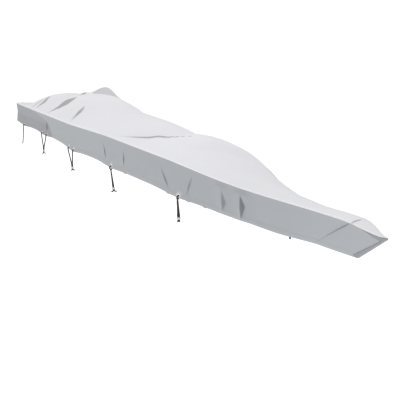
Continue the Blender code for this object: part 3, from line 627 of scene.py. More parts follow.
# %% Build the strips of the skirt
SIDE_ZONES = ((0.0, 5.60, 0.0068), (5.60, LENGTH - NOSE_RADIUS * (1 - cos(radians(NOSE_TANGENT))), 0.006))
NOSE_STEPS, NOSE_LAST = 10, 18  # points round the nose, and the angle of the last
HEM_EDGE = 0.012  # the hem's edge is spread over this share of the depth on either side
DOWNS = np.concatenate([np.linspace(0, HEM_SHARE - 0.02, 31), HEM_SHARE + np.array((-0.012, -0.004, 0.004, 0.012)),
                        np.linspace(HEM_SHARE + 0.035, 1.0, 6)])
HEM_PROUD, HEM_MIDDLE = 0.001, 0.92
HEM_DIPS = {"starboard": (3.500, 4.150, 4.395, 4.575), "port": (0.95, 2.72, 3.66, 4.58)}  # where the hem is puckered
DIP_DEPTH, DIP_REACH = 0.007, 0.020
HEM_WAVES = {"starboard": ((0.0045, 0.16, 3), (0.0027, 0.07, 5)), "port": ((0.0045, 0.16, 4), (0.0027, 0.07, 6))}
SKIRT_SLACK, STERN_SLACK = (0.0012, 0.30, 7), (0.005, 0.22, 8)
HELD_FLAT, HELD_EDGE = 0.024, 0.022  # cloth is flat this near to an eyelet's middle, and free this much further
WAVE_FROM, WAVE_GROWS, WAVE_END, WAVE_DIES = 0.05, 0.14, 5.45, 0.3  # along the hem: from an eyelet, and to the bow
CREASE_GROWS, TUCK_GROWS, STEP_GROWS, STERN_GROWS = 0.12, 0.10, 0.1, 0.15  # shares of the depth below the rim
CORNER_HOLDS = 0.06  # the strip across the stern is flat at its corners
RUBBED, RUB_FROM, RUB_EDGE = 0.8, 0.965, 0.03  # how worn the hem's lower edge is, and from which share of the depth


def hem_profile(down):
    """0 on the plain cloth, 1 on the hem."""
    return smooth((down - HEM_SHARE + HEM_EDGE) / (2 * HEM_EDGE))


def cloth_thickness(down):
    return CLOTH + (HEM_THICK - CLOTH) * hem_profile(down)


def hem_step(down):
    """The plain cloth lies a little inside the hem's outer face."""
    return (hem_profile(down) - 1) * HEM_PROUD * smooth(down / STEP_GROWS)


def hem_wear(down):
    return RUBBED * smooth((down - RUB_FROM) / RUB_EDGE)


def free_hem(x, down):
    """The hem waves where no eyelet holds it. 1 far from the eyelets and low down, 0 at them."""
    nearest = np.min([np.abs(x - eyelet) for eyelet in EYELET_XS], axis=0)
    return smooth((nearest - WAVE_FROM) / WAVE_GROWS) * down ** 2 * smooth((WAVE_END - x) / WAVE_DIES)


def side_cloth(side):
    folded = side == "starboard"
    nose = LENGTH - NOSE_RADIUS * (1 - np.cos(np.radians(np.linspace(NOSE_TANGENT, NOSE_LAST, NOSE_STEPS))))
    xs = np.concatenate([spaced(SIDE_ZONES), nose[1:], [NOSE_END]])
    x, down = np.meshgrid(xs, DOWNS, indexing="ij")
    own = SIDE_CREASES if folded else PORT_CREASES
    rise, painted_shade = creased(x, down, own + pucker_creases(), SKIRT_SCALE)
    base = skirt_plain(x, down)
    out = rise * smooth(down / CREASE_GROWS) + slack(base, *HEM_WAVES[side]) * free_hem(x, down)
    out = out + slack(base, SKIRT_SLACK) * down + hem_step(down)
    # only the starboard skirt is painted darker at its stern end, as shade where it turns aft from the light
    stern_painted_shade = np.zeros_like(x)
    if folded:
        out, stern_painted_shade = out + broad_folds(x, down), stern_zone(x, down) * smooth(down / TUCK_GROWS)
    grid = skirt_point(x, down, out) - (0.0, 0.0, GAP)
    dips = np.sum([np.exp(-((x - dip) / DIP_REACH) ** 2) for dip in HEM_DIPS[side]], axis=0)
    grid[..., 2] -= DIP_DEPTH * dips * down ** 4
    front = grid[-1:] * (1.0, 0.0, 1.0) - (0.0, GAP / 2, 0.0)
    grid = np.concatenate([grid, front])
    if side == "port":
        grid = grid * (1.0, -1.0, 1.0)
    for eyelet_x in EYELET_XS:  # an eyelet clamps the cloth flat
        centre, _, _, outwards = eyelet_place(eyelet_x, side)
        off = (grid - centre) @ outwards - HEM_THICK / 2
        held = 1 - smooth((np.linalg.norm(grid - centre, axis=2) - HELD_FLAT) / HELD_EDGE)
        grid = grid - outwards * (off * held)[..., None]
    nearest = np.min([np.hypot(x - eyelet, (down - HEM_MIDDLE) * SKIRT_SCALE) for eyelet in EYELET_XS], axis=0)
    wear = np.maximum(hem_wear(down), 1 - smooth((nearest - EYELET_RIM) / RUB_EDGE))
    layers = {name: np.concatenate([values, values[-1:]])
              for name, values in (("crease", painted_shade), ("painted_shade_patch", stern_painted_shade), ("wear", wear))}
    outward = (0.0, -1.0 if folded else 1.0, 0.0)
    return sheet_of_cloth("skirt_cloth_" + side, grid, cloth_thickness(DOWNS)[None, :], outward, layers)


sides = {side: side_cloth(side) for side in SIDES}

# %% The strip across the stern
STERN_CREASES = (  # path of (y, share of the depth), half width, height, darkness of its painted shade, peak
    (((-0.74, 0.10), (-0.71, 0.55), (-0.70, 0.95)), 0.014, 0.008, 0.4, 0.6),
    (((-0.36, 0.06), (-0.33, 0.50), (-0.34, 0.90)), 0.010, 0.007, 0.6, 0.5),
    (((0.08, 0.12), (0.06, 0.55), (0.07, 0.96)), 0.013, 0.008, 0.4, 0.6),
    (((0.42, 0.05), (0.46, 0.50), (0.47, 0.92)), 0.010, 0.008, 0.6, 0.5),
    (((0.80, 0.12), (0.78, 0.50), (0.79, 0.94)), 0.014, 0.008, 0.4, 0.6),
)
STERN_COLUMNS = 190


def stern_cloth():
    share, down = np.meshgrid(np.linspace(-1, 1, STERN_COLUMNS), DOWNS, indexing="ij")
    room = cloth_thickness(down) + GAP
    low = skirt_point(0.0, down, broad_folds(np.zeros_like(down), down))[..., 1] + room
    high = -skirt_point(0.0, down)[..., 1] - room
    y = low + (high - low) * (share + 1) / 2
    across = np.clip((y + CLOTH * np.sign(share)) / float(half_beam(0.0)), -1, 1)
    rim_z = (top_height(0.0, across) - TURN_DOWN - GAP)[:, :1]
    hem_z = float(rim_height(0.0) - skirt_depth(np.array([0.0]))[0])
    z = rim_z + (hem_z - rim_z) * down
    rise, painted_shade = creased(y, down, STERN_CREASES, SKIRT_SCALE)
    wave = slack(np.stack([0 * y, y, z], axis=-1), STERN_SLACK) * down
    held = smooth((1 - np.abs(share)) / CORNER_HOLDS)
    out = (rise + wave) * held * smooth(down / STERN_GROWS) + hem_step(down)
    return sheet_of_cloth("skirt_cloth_transom", np.stack([-out, y, z], axis=-1), room - GAP, (-1.0, 0.0, 0.0),
                          {"crease": painted_shade, "painted_shade_patch": 0 * y, "wear": hem_wear(down)})


stern = stern_cloth()

# %% [markdown]
# ## The nose band
#
# The bow is where the cover chafes and where the two side strips meet, so a strip of heavy webbing is sewn round
# it. Its cloth is painted darker than the skirt's, as the shade on the faces of the bow that turn from the light.
# It turns up over the edge of the top, runs down the stem, and has a tongue along the rim on each side. It lies on
# the skirt, so it is built from the skirt's own surface, moved outwards by a small clearance.

# %% Build the nose band
BAND_CLEAR, BAND_TURN = 0.0010, 0.042  # the clearance, and the finely spaced length round the nose
NOSE_BAND = (  # share of the skirt's depth, how far the band reaches back from the stem along the rim
    (-0.048, 0.036), (-0.030, 0.050), (-0.014, 0.068), (-0.004, 0.100), (0.004, 0.150),
    (0.012, 0.240), (0.030, 0.185), (0.058, 0.140), (0.090, 0.098), (0.108, 0.050),
    (0.130, 0.034), (0.430, 0.046), (0.730, 0.060), (0.930, 0.070), (0.985, 0.048),
)
ROUND_XS = np.concatenate([np.linspace(NOSE_END, NOSE_END - 0.04, 80), np.linspace(NOSE_END - 0.045, 5.2, 90)])
ROUND_TRAVEL = NOSE_FLAT + np.append(0.0, np.cumsum(np.hypot(np.diff(ROUND_XS), np.diff(half_beam(ROUND_XS)))))


def nose_cloth():
    downs = np.concatenate([np.linspace(NOSE_BAND[0][0], 0.0, 11), np.linspace(0.004, 0.14, 22),
                            np.linspace(0.16, 0.90, 22), np.linspace(0.91, NOSE_BAND[-1][0], 12)])
    reach = np.interp(downs, *np.transpose(NOSE_BAND))
    turn = np.minimum(0.7 * reach, BAND_TURN)
    near, far = np.linspace(0, 1, 13)[:, None], np.linspace(0, 1, 25)[1:, None]
    place = np.concatenate([turn * near, turn + (reach - turn) * far])
    x = np.where(place <= NOSE_FLAT, NOSE_END, np.interp(place, ROUND_TRAVEL, ROUND_XS))
    half = skirt_plain(x, np.broadcast_to(np.maximum(downs, 0), x.shape))
    half[..., 1] *= np.clip(place / NOSE_FLAT, 0, 1)
    half[..., 2] -= np.minimum(downs, 0) * skirt_depth(x)  # over the edge of the top it goes straight up
    grid = np.concatenate([half[:0:-1] * (1, -1, 1), half])
    normals = grid_normals(grid)
    normals *= np.sign((normals * (1.0, 0.0, 0.0)).sum(axis=2).mean())
    plain = {name: 0 * grid[..., 0] for name in ("crease", "painted_shade_patch", "wear")}
    return sheet_of_cloth("nose_band_webbing", grid + (BAND_CLEAR + CLOTH) * normals, CLOTH, (1.0, 0.0, 0.0), plain)


band = nose_cloth()

# %% [markdown]
# ## One way to make nodes
#
# Geometry nodes and shader nodes are wired in the same way, so one small class makes both: it takes a node's type,
# its settings and its inputs. A second class wraps an output so that Python's operators work on it, and each
# operator adds one Math node. A formula in a material then reads as a formula.

# %% A graph of nodes, and a wire that can be calculated with
def operator(operation, reflected=False):
    """A method that adds one Math node, which takes its own wire first, or last when reflected."""
    def method(self, *others):
        return self.graph.math(operation, *((*others, self) if reflected else (self, *others)))
    return method


class Wire:
    """The output of a node, with Python's operators."""
    def __init__(self, graph, socket):
        self.graph, self.socket = graph, socket

    __add__ = __radd__ = operator("ADD")
    __mul__ = __rmul__ = operator("MULTIPLY")
    __sub__, __rsub__ = operator("SUBTRACT"), operator("SUBTRACT", reflected=True)
    __truediv__ = operator("DIVIDE")
    sine, cosine, root = operator("SINE"), operator("COSINE"), operator("SQRT")

    def clamped(self):
        return self.graph.node("ShaderNodeClamp", {}, {0: self})


class Graph:
    def __init__(self, tree):
        self.tree = tree

    def math(self, operation, *values):
        return self.node("ShaderNodeMath", {"operation": operation}, dict(enumerate(values)))

    def node(self, kind, settings=None, inputs=None, output=0):
        """Add a node of this kind: its settings first, then a value or a wire for each input."""
        made = self.tree.nodes.new(kind)
        for name, value in (settings or {}).items():
            setattr(made, name, value)
        for key, value in (inputs or {}).items():
            if isinstance(value, Wire):
                self.tree.links.new(value.socket, made.inputs[key])
            else:
                made.inputs[key].default_value = value
        return Wire(self, made.outputs[output]) if made.outputs else None


print("a wire can be added, multiplied, subtracted and divided")

# %% A geometry tree with named inputs
KINDS = {"geometry": "NodeSocketGeometry", "number": "NodeSocketFloat", "count": "NodeSocketInt",
         "material": "NodeSocketMaterial", "object": "NodeSocketObject"}


def evaluated_mesh(made):
    """The mesh of an object as its modifiers leave it."""
    return bpy.data.meshes.new_from_object(made.evaluated_get(bpy.context.evaluated_depsgraph_get()))


class GeometryTree(Graph):
    """A geometry tree. Its inputs are named, and a modifier's values are set by each socket's identifier."""
    def __init__(self, name, **inputs):
        super().__init__(bpy.data.node_groups.new(name, "GeometryNodeTree"))
        self.names = {}
        for socket, kind in {"geometry": "geometry", **inputs}.items():
            made = self.tree.interface.new_socket(socket, in_out="INPUT", socket_type=KINDS[kind])
            self.names[socket] = made.identifier
        self.tree.interface.new_socket("geometry", in_out="OUTPUT", socket_type=KINDS["geometry"])
        self.source = self.tree.nodes.new("NodeGroupInput")

    def __getitem__(self, name):
        return Wire(self, self.source.outputs[name])

    def finish(self, geometry):
        real = self.node("GeometryNodeRealizeInstances", {}, {0: geometry})
        smooth_shaded = self.node("GeometryNodeSetShadeSmooth", {}, {0: real})
        painted = self.node("GeometryNodeSetMaterial", {}, {0: smooth_shaded, "Material": self["material"]})
        self.node("NodeGroupOutput", {}, {0: painted})

    def run(self, name, start, **values):
        """Run the tree on an object and return its result as a plain mesh object. The start object goes."""
        modifier = start.modifiers.new(self.tree.name, "NODES")
        modifier.node_group = self.tree
        for key, value in values.items():
            modifier[self.names[key]] = value
        mesh = evaluated_mesh(start)
        mesh.name = name
        bpy.data.objects.remove(start)
        return new_object(name, mesh)


def line_object(name, line):
    """A plain poly curve through points that are in the cover's own frame."""
    curve = bpy.data.curves.new(name, "CURVE")
    curve.dimensions = "3D"
    spline = curve.splines.new("POLY")
    spline.points.add(len(line) - 1)
    spline.points.foreach_set("co", np.column_stack([line, np.ones(len(line))]).ravel())
    return new_object(name, curve)


def points_object(name, points, edges, attribute, vectors):
    """A mesh of points and edges whose points carry a vector each."""
    mesh = new_mesh(name, points, edges)
    mesh.attributes.new(attribute, "FLOAT_VECTOR", "POINT").data.foreach_set("vector", np.ravel(vectors))
    return new_object(name, mesh)


print("a tree can be built and run")

# %% [markdown]
# ## The eyelets
#
# An eyelet is pressed from thin sheet: a barrel goes through the hem and its ends are rolled over into two rounded
# flanges. One eyelet is a profile turned round an axis. Geometry Nodes then puts a copy on each of fourteen points
# that carry their own turn, so a change of the profile reaches all of them.

# %% Model one eyelet and set it in the hem fourteen times
EYELET_SIDES = 40
INSIDE = HEM_THICK / 2 + GAP
CREST = INSIDE + EYELET_METAL
FLANGE = np.array((  # radius and height of its outline, from the rim over the crest to the hole
    (EYELET_RIM, INSIDE), (EYELET_RIM - 0.0006, INSIDE + 0.0009), (EYELET_RIM - 0.0030, CREST - 0.0003),
    (EYELET_RIM - 0.0060, CREST), (EYELET_HOLE + 0.0022, CREST - 0.0002), (EYELET_HOLE + 0.0006, CREST - 0.0010),
    (EYELET_HOLE, INSIDE - 0.0006),
))
BARREL = np.array(((EYELET_BARREL, -INSIDE), (EYELET_BARREL, INSIDE)))


def tube_faces(rings, sides):
    """The faces of a tube that closes on itself both ways."""
    k, i = np.meshgrid(np.arange(rings), np.arange(sides), indexing="ij")
    n, m = (k + 1) % rings, (i + 1) % sides
    return np.stack([k * sides + i, k * sides + m, n * sides + m, n * sides + i], axis=-1).reshape(-1, 4)


def turned(profile, segments):
    """A mesh made by turning a closed profile of (radius, height) round the z axis."""
    radius, height = np.transpose(profile)
    angles = 2 * pi * np.arange(segments)[:, None] / segments
    points = np.stack(np.broadcast_arrays(np.cos(angles) * radius, np.sin(angles) * radius, height), axis=-1)
    return new_mesh("turned", points.reshape(-1, 3), faces=tube_faces(segments, len(profile)))


profile = np.concatenate([FLANGE, FLANGE[::-1] * (1, -1), BARREL])[::-1]
one_eyelet = bpy.data.objects.new("one_eyelet", turned(profile, EYELET_SIDES))

tree = GeometryTree("eyelets_on_points", piece="object", material="material")
piece = tree.node("GeometryNodeObjectInfo", {}, {"Object": tree["piece"]}, "Geometry")
turn = tree.node("GeometryNodeInputNamedAttribute", {"data_type": "FLOAT_VECTOR"}, {"Name": "turn"})
tree.finish(tree.node("GeometryNodeInstanceOnPoints", {},
                      {"Points": tree["geometry"], "Instance": piece, "Rotation": turn}))

materials = {name: bpy.data.materials.new(name) for name in
             ("top_cloth", "skirt_cloth", "nose_cloth", "thread", "eyelet_metal", "cord", "ring_plastic", "floor")}
eyelet_places = [(side, eyelet_place(x, side)) for side in SIDES for x in EYELET_XS]
turns = [Matrix(np.transpose(axes).tolist()).to_euler() for _, (_, *axes) in eyelet_places]
middles = [tuple(centre - MOUNT) for _, (centre, *_) in eyelet_places]
points = points_object("eyelet_points", middles, (), "turn", turns)
eyelets = tree.run("eyelets", points, piece=one_eyelet, material=materials["eyelet_metal"])
bpy.data.objects.remove(one_eyelet)
print("eyelets:", len(eyelet_places), "with", len(eyelets.data.polygons), "faces")

# %% Cut their holes in the hem
CUTTER_LENGTH = 0.02


def cut_holes(cloth, side):
    """Cut a round hole for each barrel. The cutters are one object, and they go when the holes are made."""
    model = bmesh.new()
    radius = EYELET_BARREL + GAP
    for centre, *axes in [place for its_side, place in eyelet_places if its_side == side]:
        turn = Matrix(np.transpose(axes).tolist()).to_4x4()
        bmesh.ops.create_cone(model, cap_ends=True, segments=EYELET_SIDES, depth=CUTTER_LENGTH, radius1=radius,
                              radius2=radius, matrix=Matrix.Translation(centre - MOUNT) @ turn)
    mesh = bpy.data.meshes.new("cutters")
    model.to_mesh(mesh)
    model.free()
    cutters = new_object("cutters", mesh)
    modifier = cloth.modifiers.new("holes", "BOOLEAN")
    modifier.operation, modifier.object = "DIFFERENCE", cutters
    cut = evaluated_mesh(cloth)
    cloth.modifiers.clear()
    cloth.data = cut
    bpy.data.objects.remove(cutters)
    print(cloth.name, "with holes:", len(cut.polygons), "faces")


for side, cloth in sides.items():
    cut_holes(cloth, side)

# %% [markdown]
# ## The cords
#
# Each tie is one or two lengths of elastic cord with a braided black sheath. The cord passes an eyelet, runs down
# to a ring that gathers the tie, and ends in a free tail. A Curve to Mesh node sweeps a circle along each route.
# The radius follows a factor along the cord: it swells to a melted button where it must not slip through its
# eyelet, and it is rounded at the tip. The sweep also stores how far along the cord and how far round it each
# point lies, which the braid follows.

# %% Sweep the cords
CORD_SIDES, CORD_STEP, BUTTON = 16, 0.004, 0.45  # a button's radius is larger by this share
BUTTON_FROM, BUTTON_TO = 0.004, 0.010  # it tapers away between these distances from the cord's end
TIP_LENGTH, TIP_CLOSES = 0.7, 0.93  # a tip is rounded over this many radii, and closes nearly to a point
tree = cord_tree = GeometryTree("swept_cord", radius="number", button="number", step="number", material="material")
line = tree.node("GeometryNodeCurveSplineType", {"spline_type": "CATMULL_ROM"}, {0: tree["geometry"]})
line = tree.node("GeometryNodeResampleCurve", {"mode": "LENGTH"}, {"Curve": line, "Length": tree["step"]})
travelled = tree.node("GeometryNodeSplineParameter", {}, {}, "Length")
whole = tree.node("GeometryNodeSplineLength", {}, {}, "Length")
rounding = TIP_LENGTH * tree["radius"]


def round_off(distance):
    """0 to 1 as a quarter circle over the last few millimetres of an end."""
    share = 1.0 - (distance / rounding).clamped()
    return (1.0 - share * share * TIP_CLOSES).root()


def store(geometry, name, value):
    return tree.node("GeometryNodeStoreNamedAttribute", {"data_type": "FLOAT", "domain": "POINT"},
                     {"Geometry": geometry, "Name": name, "Value": value})


swell = tree.node("ShaderNodeMapRange", {"interpolation_type": "SMOOTHSTEP"},
                  {0: travelled, 1: BUTTON_FROM, 2: BUTTON_TO, 3: 1.0, 4: 0.0})
factor = round_off(whole - travelled) * round_off(travelled) * (1.0 + swell * tree["button"])
line = store(tree.node("GeometryNodeSetCurveRadius", {}, {0: line, "Radius": factor}), "along", travelled)
circle = tree.node("GeometryNodeCurvePrimitiveCircle", {}, {"Resolution": CORD_SIDES, "Radius": tree["radius"]})
angle = tree.node("GeometryNodeSplineParameter", {}, {}, "Factor") * (2 * pi)
circle = store(store(circle, "around_x", angle.cosine()), "around_y", angle.sine())
tree.finish(tree.node("GeometryNodeCurveToMesh", {}, {"Curve": line, "Profile Curve": circle, "Fill Caps": True}))

cords = []
for tie in TIES:
    button = 0.0 if len(tie[4]) > len(tie[1]) else BUTTON
    for side in SIDES:
        for index in range(len(tie[4])):
            route = strand_route(tie, index, side, FINE_STEP) - MOUNT
            cord = cord_tree.run(f"{tie[0]}_{side}_cord_{index + 1}", line_object("route", route), radius=CORD_RADIUS,
                                 button=button, step=CORD_STEP, material=materials["cord"])
            cords.append((tie, side, index, cord, route))
print("cords:", len(cords), "with", sum(len(cord.data.polygons) for *_, cord, _ in cords), "faces")

# %% [markdown]
# ## The rings
#
# A ring gathers the strands of a tie. It is a short moulded tube, oval where it holds two cords, with rounded
# edges. Its section is a superellipse, swept round the outline of the two bores.

# %% Mould the rings
WALL_STEPS, ARC_STEPS, WALL_POWER = 20, 20, 0.6  # points round the wall, points round each end, and how square it is


def face_outwards(mesh):
    model = bmesh.new()
    model.from_mesh(mesh)
    bmesh.ops.recalc_face_normals(model, faces=model.faces)
    model.to_mesh(mesh)
    model.free()


def ring_piece(tie, side):
    half_flat = STRAND_OFFSET if len(tie[4]) > 1 else 0.0
    wall = np.linspace(0, 2 * pi, WALL_STEPS, endpoint=False)
    off_bore, height = (np.sign(wave) * np.abs(wave) ** WALL_POWER for wave in (np.cos(wall), np.sin(wall)))
    radius = RING_BORE + RING_WALL / 2 * (1 + off_bore)
    arc = np.linspace(-pi / 2, pi / 2, ARC_STEPS + 1)
    if not half_flat:
        arc = arc[:-1]
    centres = np.repeat((half_flat, -half_flat), len(arc))[:, None]
    angles = np.concatenate([arc, arc + pi])[:, None]
    x, y = centres + radius * np.cos(angles), radius * np.sin(angles)
    middle, forward, out, down = ring_place(tie, side)
    points = (middle - MOUNT) + (x[..., None] * forward + y[..., None] * out
                                 + (RING_HALF_HEIGHT * height)[None, :, None] * down)
    mesh = new_mesh("ring", points.reshape(-1, 3), faces=tube_faces(len(angles), WALL_STEPS))
    face_outwards(mesh)
    mesh.shade_smooth()
    mesh.materials.append(materials["ring_plastic"])
    return new_object(f"{tie[0]}_{side}_gathering_ring", mesh)


rings = {(tie[0], side): ring_piece(tie, side) for tie in TIES for side in SIDES}
print("rings:", len(rings), "with", sum(len(ring.data.polygons) for ring in rings.values()), "faces")

# %% [markdown]
# ## Stitching and whipping
#
# The skirt is sewn on along the rim, its hem is turned up and sewn, and the band is sewn round the bow. A row of
# stitches is one short piece of thread repeated along a line. Geometry Nodes resamples the line to the pitch of
# the machine, puts a stitch on each point, turns it along the line and off the cloth, and makes each a little
# different. Where two cords meet above their ring they are bound with thread, which is the cord's own tree again
# with a thin radius and a route that winds round both.

# %% A tree that sews along a line
STITCH_LENGTH, STITCH_RADIUS, STITCH_SIDES, STITCH_LIFT = 0.0058, 0.0006, 6, 0.0002
STITCH_RINGS = ((-0.5, 0.45, -0.5), (-0.28, 1.0, 0.0), (0.28, 1.0, 0.0), (0.5, 0.45, -0.5))  # place, size, dip


def one_stitch():
    """A short thread whose ends dip into the cloth."""
    points = [(along * STITCH_LENGTH, share * STITCH_RADIUS * cos(angle), STITCH_RADIUS * (dip + share * sin(angle)))
              for along, share, dip in STITCH_RINGS
              for angle in np.linspace(0, 2 * pi, STITCH_SIDES, endpoint=False)]
    first, last = list(range(STITCH_SIDES)), list(range(len(points) - STITCH_SIDES, len(points)))
    walls = tube_faces(len(STITCH_RINGS), STITCH_SIDES)[:-STITCH_SIDES]
    mesh = new_mesh("one_stitch", points, faces=[*walls.tolist(), first[::-1], last])
    face_outwards(mesh)
    return bpy.data.objects.new("one_stitch", mesh)


tree = stitch_tree = GeometryTree("stitches_on_lines", piece="object", pitch="number", unevenness="number",
                                  seed="count", material="material")
line = tree.node("GeometryNodeMeshToCurve", {}, {0: tree["geometry"]})
line = tree.node("GeometryNodeResampleCurve", {"mode": "LENGTH"}, {"Curve": line, "Length": tree["pitch"]})
tangent = tree.node("GeometryNodeInputTangent")
off_cloth = tree.node("GeometryNodeInputNamedAttribute", {"data_type": "FLOAT_VECTOR"}, {"Name": "off_cloth"})
turn = tree.node("FunctionNodeAlignRotationToVector", {"axis": "X"}, {"Vector": tangent})
turn = tree.node("FunctionNodeAlignRotationToVector", {"axis": "Z", "pivot_axis": "X"},
                 {"Rotation": turn, "Vector": off_cloth})
least = tree.node("ShaderNodeCombineXYZ", {}, {0: 1.0 - tree["unevenness"], 1: 0.9, 2: 0.8})
size = tree.node("FunctionNodeRandomValue", {"data_type": "FLOAT_VECTOR"},
                 {0: least, 1: (1.0, 1.0, 1.0), "Seed": tree["seed"]})
piece = tree.node("GeometryNodeObjectInfo", {}, {"Object": tree["piece"]}, "Geometry")
tree.finish(tree.node("GeometryNodeInstanceOnPoints", {},
                      {"Points": line, "Instance": piece, "Rotation": turn, "Scale": size}))


def seam(sheet, along, across):
    """A line on a sheet's outer face, as places in its grid: a row for each point, and a column for all or each."""
    points, normals = OUTER_FACES[sheet]
    across = np.broadcast_to(np.asarray(across, float), len(along))
    i0, j0 = np.floor(along).astype(int), np.floor(across).astype(int)
    i1, j1 = np.minimum(i0 + 1, points.shape[0] - 1), np.minimum(j0 + 1, points.shape[1] - 1)
    u, v = (along - i0)[:, None], (across - j0)[:, None]
    weights = ((i0, j0, (1 - u) * (1 - v)), (i1, j0, u * (1 - v)), (i0, j1, (1 - u) * v), (i1, j1, u * v))
    place, off = (sum(grid[i, j] * weight for i, j, weight in weights) for grid in (points, normals))
    off = off / np.linalg.norm(off, axis=1, keepdims=True)
    return place - MOUNT + STITCH_LIFT * off, off


print("a stitch has", len(STITCH_RINGS) * STITCH_SIDES, "points")

# %% Sew the rim, the hem and the band
STITCH_PITCH, STITCH_UNEVENNESS = 0.0080, 0.12
RIM_ROW, HEM_ROW = 0.70, 34.3  # columns of the skirt's grid: 5 mm below the rim, and just inside the hem
RIM_SEAM_END, HEM_SEAM_END = 5.46, 5.66  # where the band covers them
BAND_EDGE, BAND_LEG = 1.6, 36.0  # rows in from the band's edge, and the column where its leg begins
STITCH_FACES = 20
stitch = one_stitch()


def sew(name, lines, seed):
    """Sew along lines that are given as points and the directions off the cloth."""
    starts = np.cumsum([0] + [len(place) for place, _ in lines])
    edges = [(k, k + 1) for start, end in zip(starts, starts[1:]) for k in range(start, end - 1)]
    places, off = (np.concatenate(part) for part in zip(*lines))
    start = points_object(name + "_lines", places, edges, "off_cloth", off)
    return stitch_tree.run(name, start, piece=stitch, pitch=STITCH_PITCH, unevenness=STITCH_UNEVENNESS,
                           seed=seed, material=materials["thread"])


stitches = {}
for number, side in enumerate(SIDES):
    name = "skirt_cloth_" + side
    xs = OUTER_FACES[name][0][:, 0, 0]
    rows = [seam(name, np.arange(2.0, np.searchsorted(xs, end)), row)
            for end, row in ((RIM_SEAM_END, RIM_ROW), (HEM_SEAM_END, HEM_ROW))]
    stitches[side] = sew("stitches_" + side, rows, number)
across_stern = np.arange(3.0, STERN_COLUMNS - 4)
rows = [seam("skirt_cloth_transom", across_stern, row) for row in (RIM_ROW, HEM_ROW)]
stitches["transom"] = sew("stitches_transom", rows, 2)
band_rows, band_columns = OUTER_FACES["nose_band_webbing"][0].shape[:2]
leg = np.arange(BAND_LEG, band_columns - 2)
rows = [seam("nose_band_webbing", np.full(len(leg), edge), leg) for edge in (BAND_EDGE, band_rows - 1 - BAND_EDGE)]
stitches["band"] = sew("stitches_band", rows, 3)
bpy.data.objects.remove(stitch)
print("stitches:", {name: len(piece.data.polygons) // STITCH_FACES for name, piece in stitches.items()})

# %% Bind the pairs of cords with thread
BOUND_TIES = ("tie_2", "tie_3", "tie_5")
THREAD_RADIUS, THREAD_STEP = 0.0011, 0.0030
BINDING = (-0.042, -0.015)  # from and to, down the cords from the middle of the ring
TURN_POINTS, THREAD_BEDS, CORNER = 40, 0.8, 3  # points a turn, its share clear of the cord, how fast it rounds a cord


def winding(tie, side):
    """A route that winds round both cords of a tie, above its ring."""
    middle, forward, out, down = ring_place(tie, side)
    turns = int((BINDING[1] - BINDING[0]) / (2 * THREAD_RADIUS))
    reach = CORD_RADIUS + THREAD_RADIUS * THREAD_BEDS
    angle = np.linspace(0, 2 * pi * turns, TURN_POINTS * turns + 1)[:, None]
    beside = STRAND_OFFSET * np.sign(np.cos(angle)) * np.minimum(np.abs(np.cos(angle)) * CORNER, 1)
    along = np.linspace(*BINDING, len(angle))[:, None]
    return middle - MOUNT + (beside + reach * np.cos(angle)) * forward + reach * np.sin(angle) * out + along * down


bindings = {(tie[0], side): cord_tree.run(f"{tie[0]}_{side}_binding", line_object("winding", winding(tie, side)),
                                          radius=THREAD_RADIUS, button=0.0, step=THREAD_STEP,
                                          material=materials["cord"])
            for tie in TIES if tie[0] in BOUND_TIES for side in SIDES}
print("bindings:", len(bindings), "with", sum(len(piece.data.polygons) for piece in bindings.values()), "faces")

# %% [markdown]
# ## The camera
#
# The camera stands off the starboard bow a little below the level of the crest, and it is rolled, so the boat
# seems to run downhill. A camera's matrix is its right, up and backward directions as columns.

# %% Set the camera
AZIMUTH, ELEVATION, DISTANCE, ROLL = 0.796, 0.112, 5.24, 0.313
LENS, SENSOR = 40.0, 36.0
TARGET = Vector(np.array((3.58, 0.0, -0.37)) - MOUNT)
back = Vector((sin(AZIMUTH) * cos(ELEVATION), -cos(AZIMUTH) * cos(ELEVATION), sin(ELEVATION)))
right = Vector((cos(AZIMUTH), sin(AZIMUTH), 0.0))
up = back.cross(right)
rolled_right, rolled_up = cos(ROLL) * right + sin(ROLL) * up, cos(ROLL) * up - sin(ROLL) * right
camera = new_object("camera", bpy.data.cameras.new("camera"))
camera.data.lens, camera.data.sensor_width = LENS, SENSOR
camera.matrix_world = (Matrix.Translation(TARGET + back * DISTANCE)
                       @ Matrix((rolled_right, rolled_up, back)).transposed().to_4x4())
bpy.context.scene.camera = camera
print("the camera is at", [round(v, 2) for v in camera.location])

# %% [markdown]
# ## Light
#
# Cloth shows its folds by how its brightness falls off as it turns from the light. A broad soft light overhead
# does most of the work, and light from all round fills the shade. The floor is bright, as in a studio with a
# white sweep, so it lights the skirt from below and shows hardly any shadow.

# %% Light the cover
LIGHT_PLACE, LIGHT_AIM, LIGHT_SIZE, LIGHT_POWER = Vector((2.6, -2.5, 12.0)), Vector((1.7, 0.0, -0.4)), 8.0, 840
FLOOR_HALF, FLOOR_Z, FLOOR_GLOW = 60, -2.6, 0.9
STUDIO_LIGHT, BACKGROUND = 0.55, 1.05  # how bright the world lights the cover, and how bright it looks
WHITE = (1.0, 1.0, 1.0, 1.0)

lamp = bpy.data.lights.new("overhead", "AREA")
lamp.shape, lamp.size, lamp.energy = "DISK", LIGHT_SIZE, LIGHT_POWER
overhead = new_object("overhead", lamp)
overhead.location = LIGHT_PLACE
overhead.rotation_euler = (LIGHT_AIM - LIGHT_PLACE).to_track_quat("-Z", "Y").to_euler()

floor_points = [(x * FLOOR_HALF, y * FLOOR_HALF, FLOOR_Z) for x, y in ((-1, -1), (1, -1), (1, 1), (-1, 1))]
floor = new_object("floor", new_mesh("floor", floor_points, faces=[(0, 1, 2, 3)]))
floor.data.materials.append(materials["floor"])

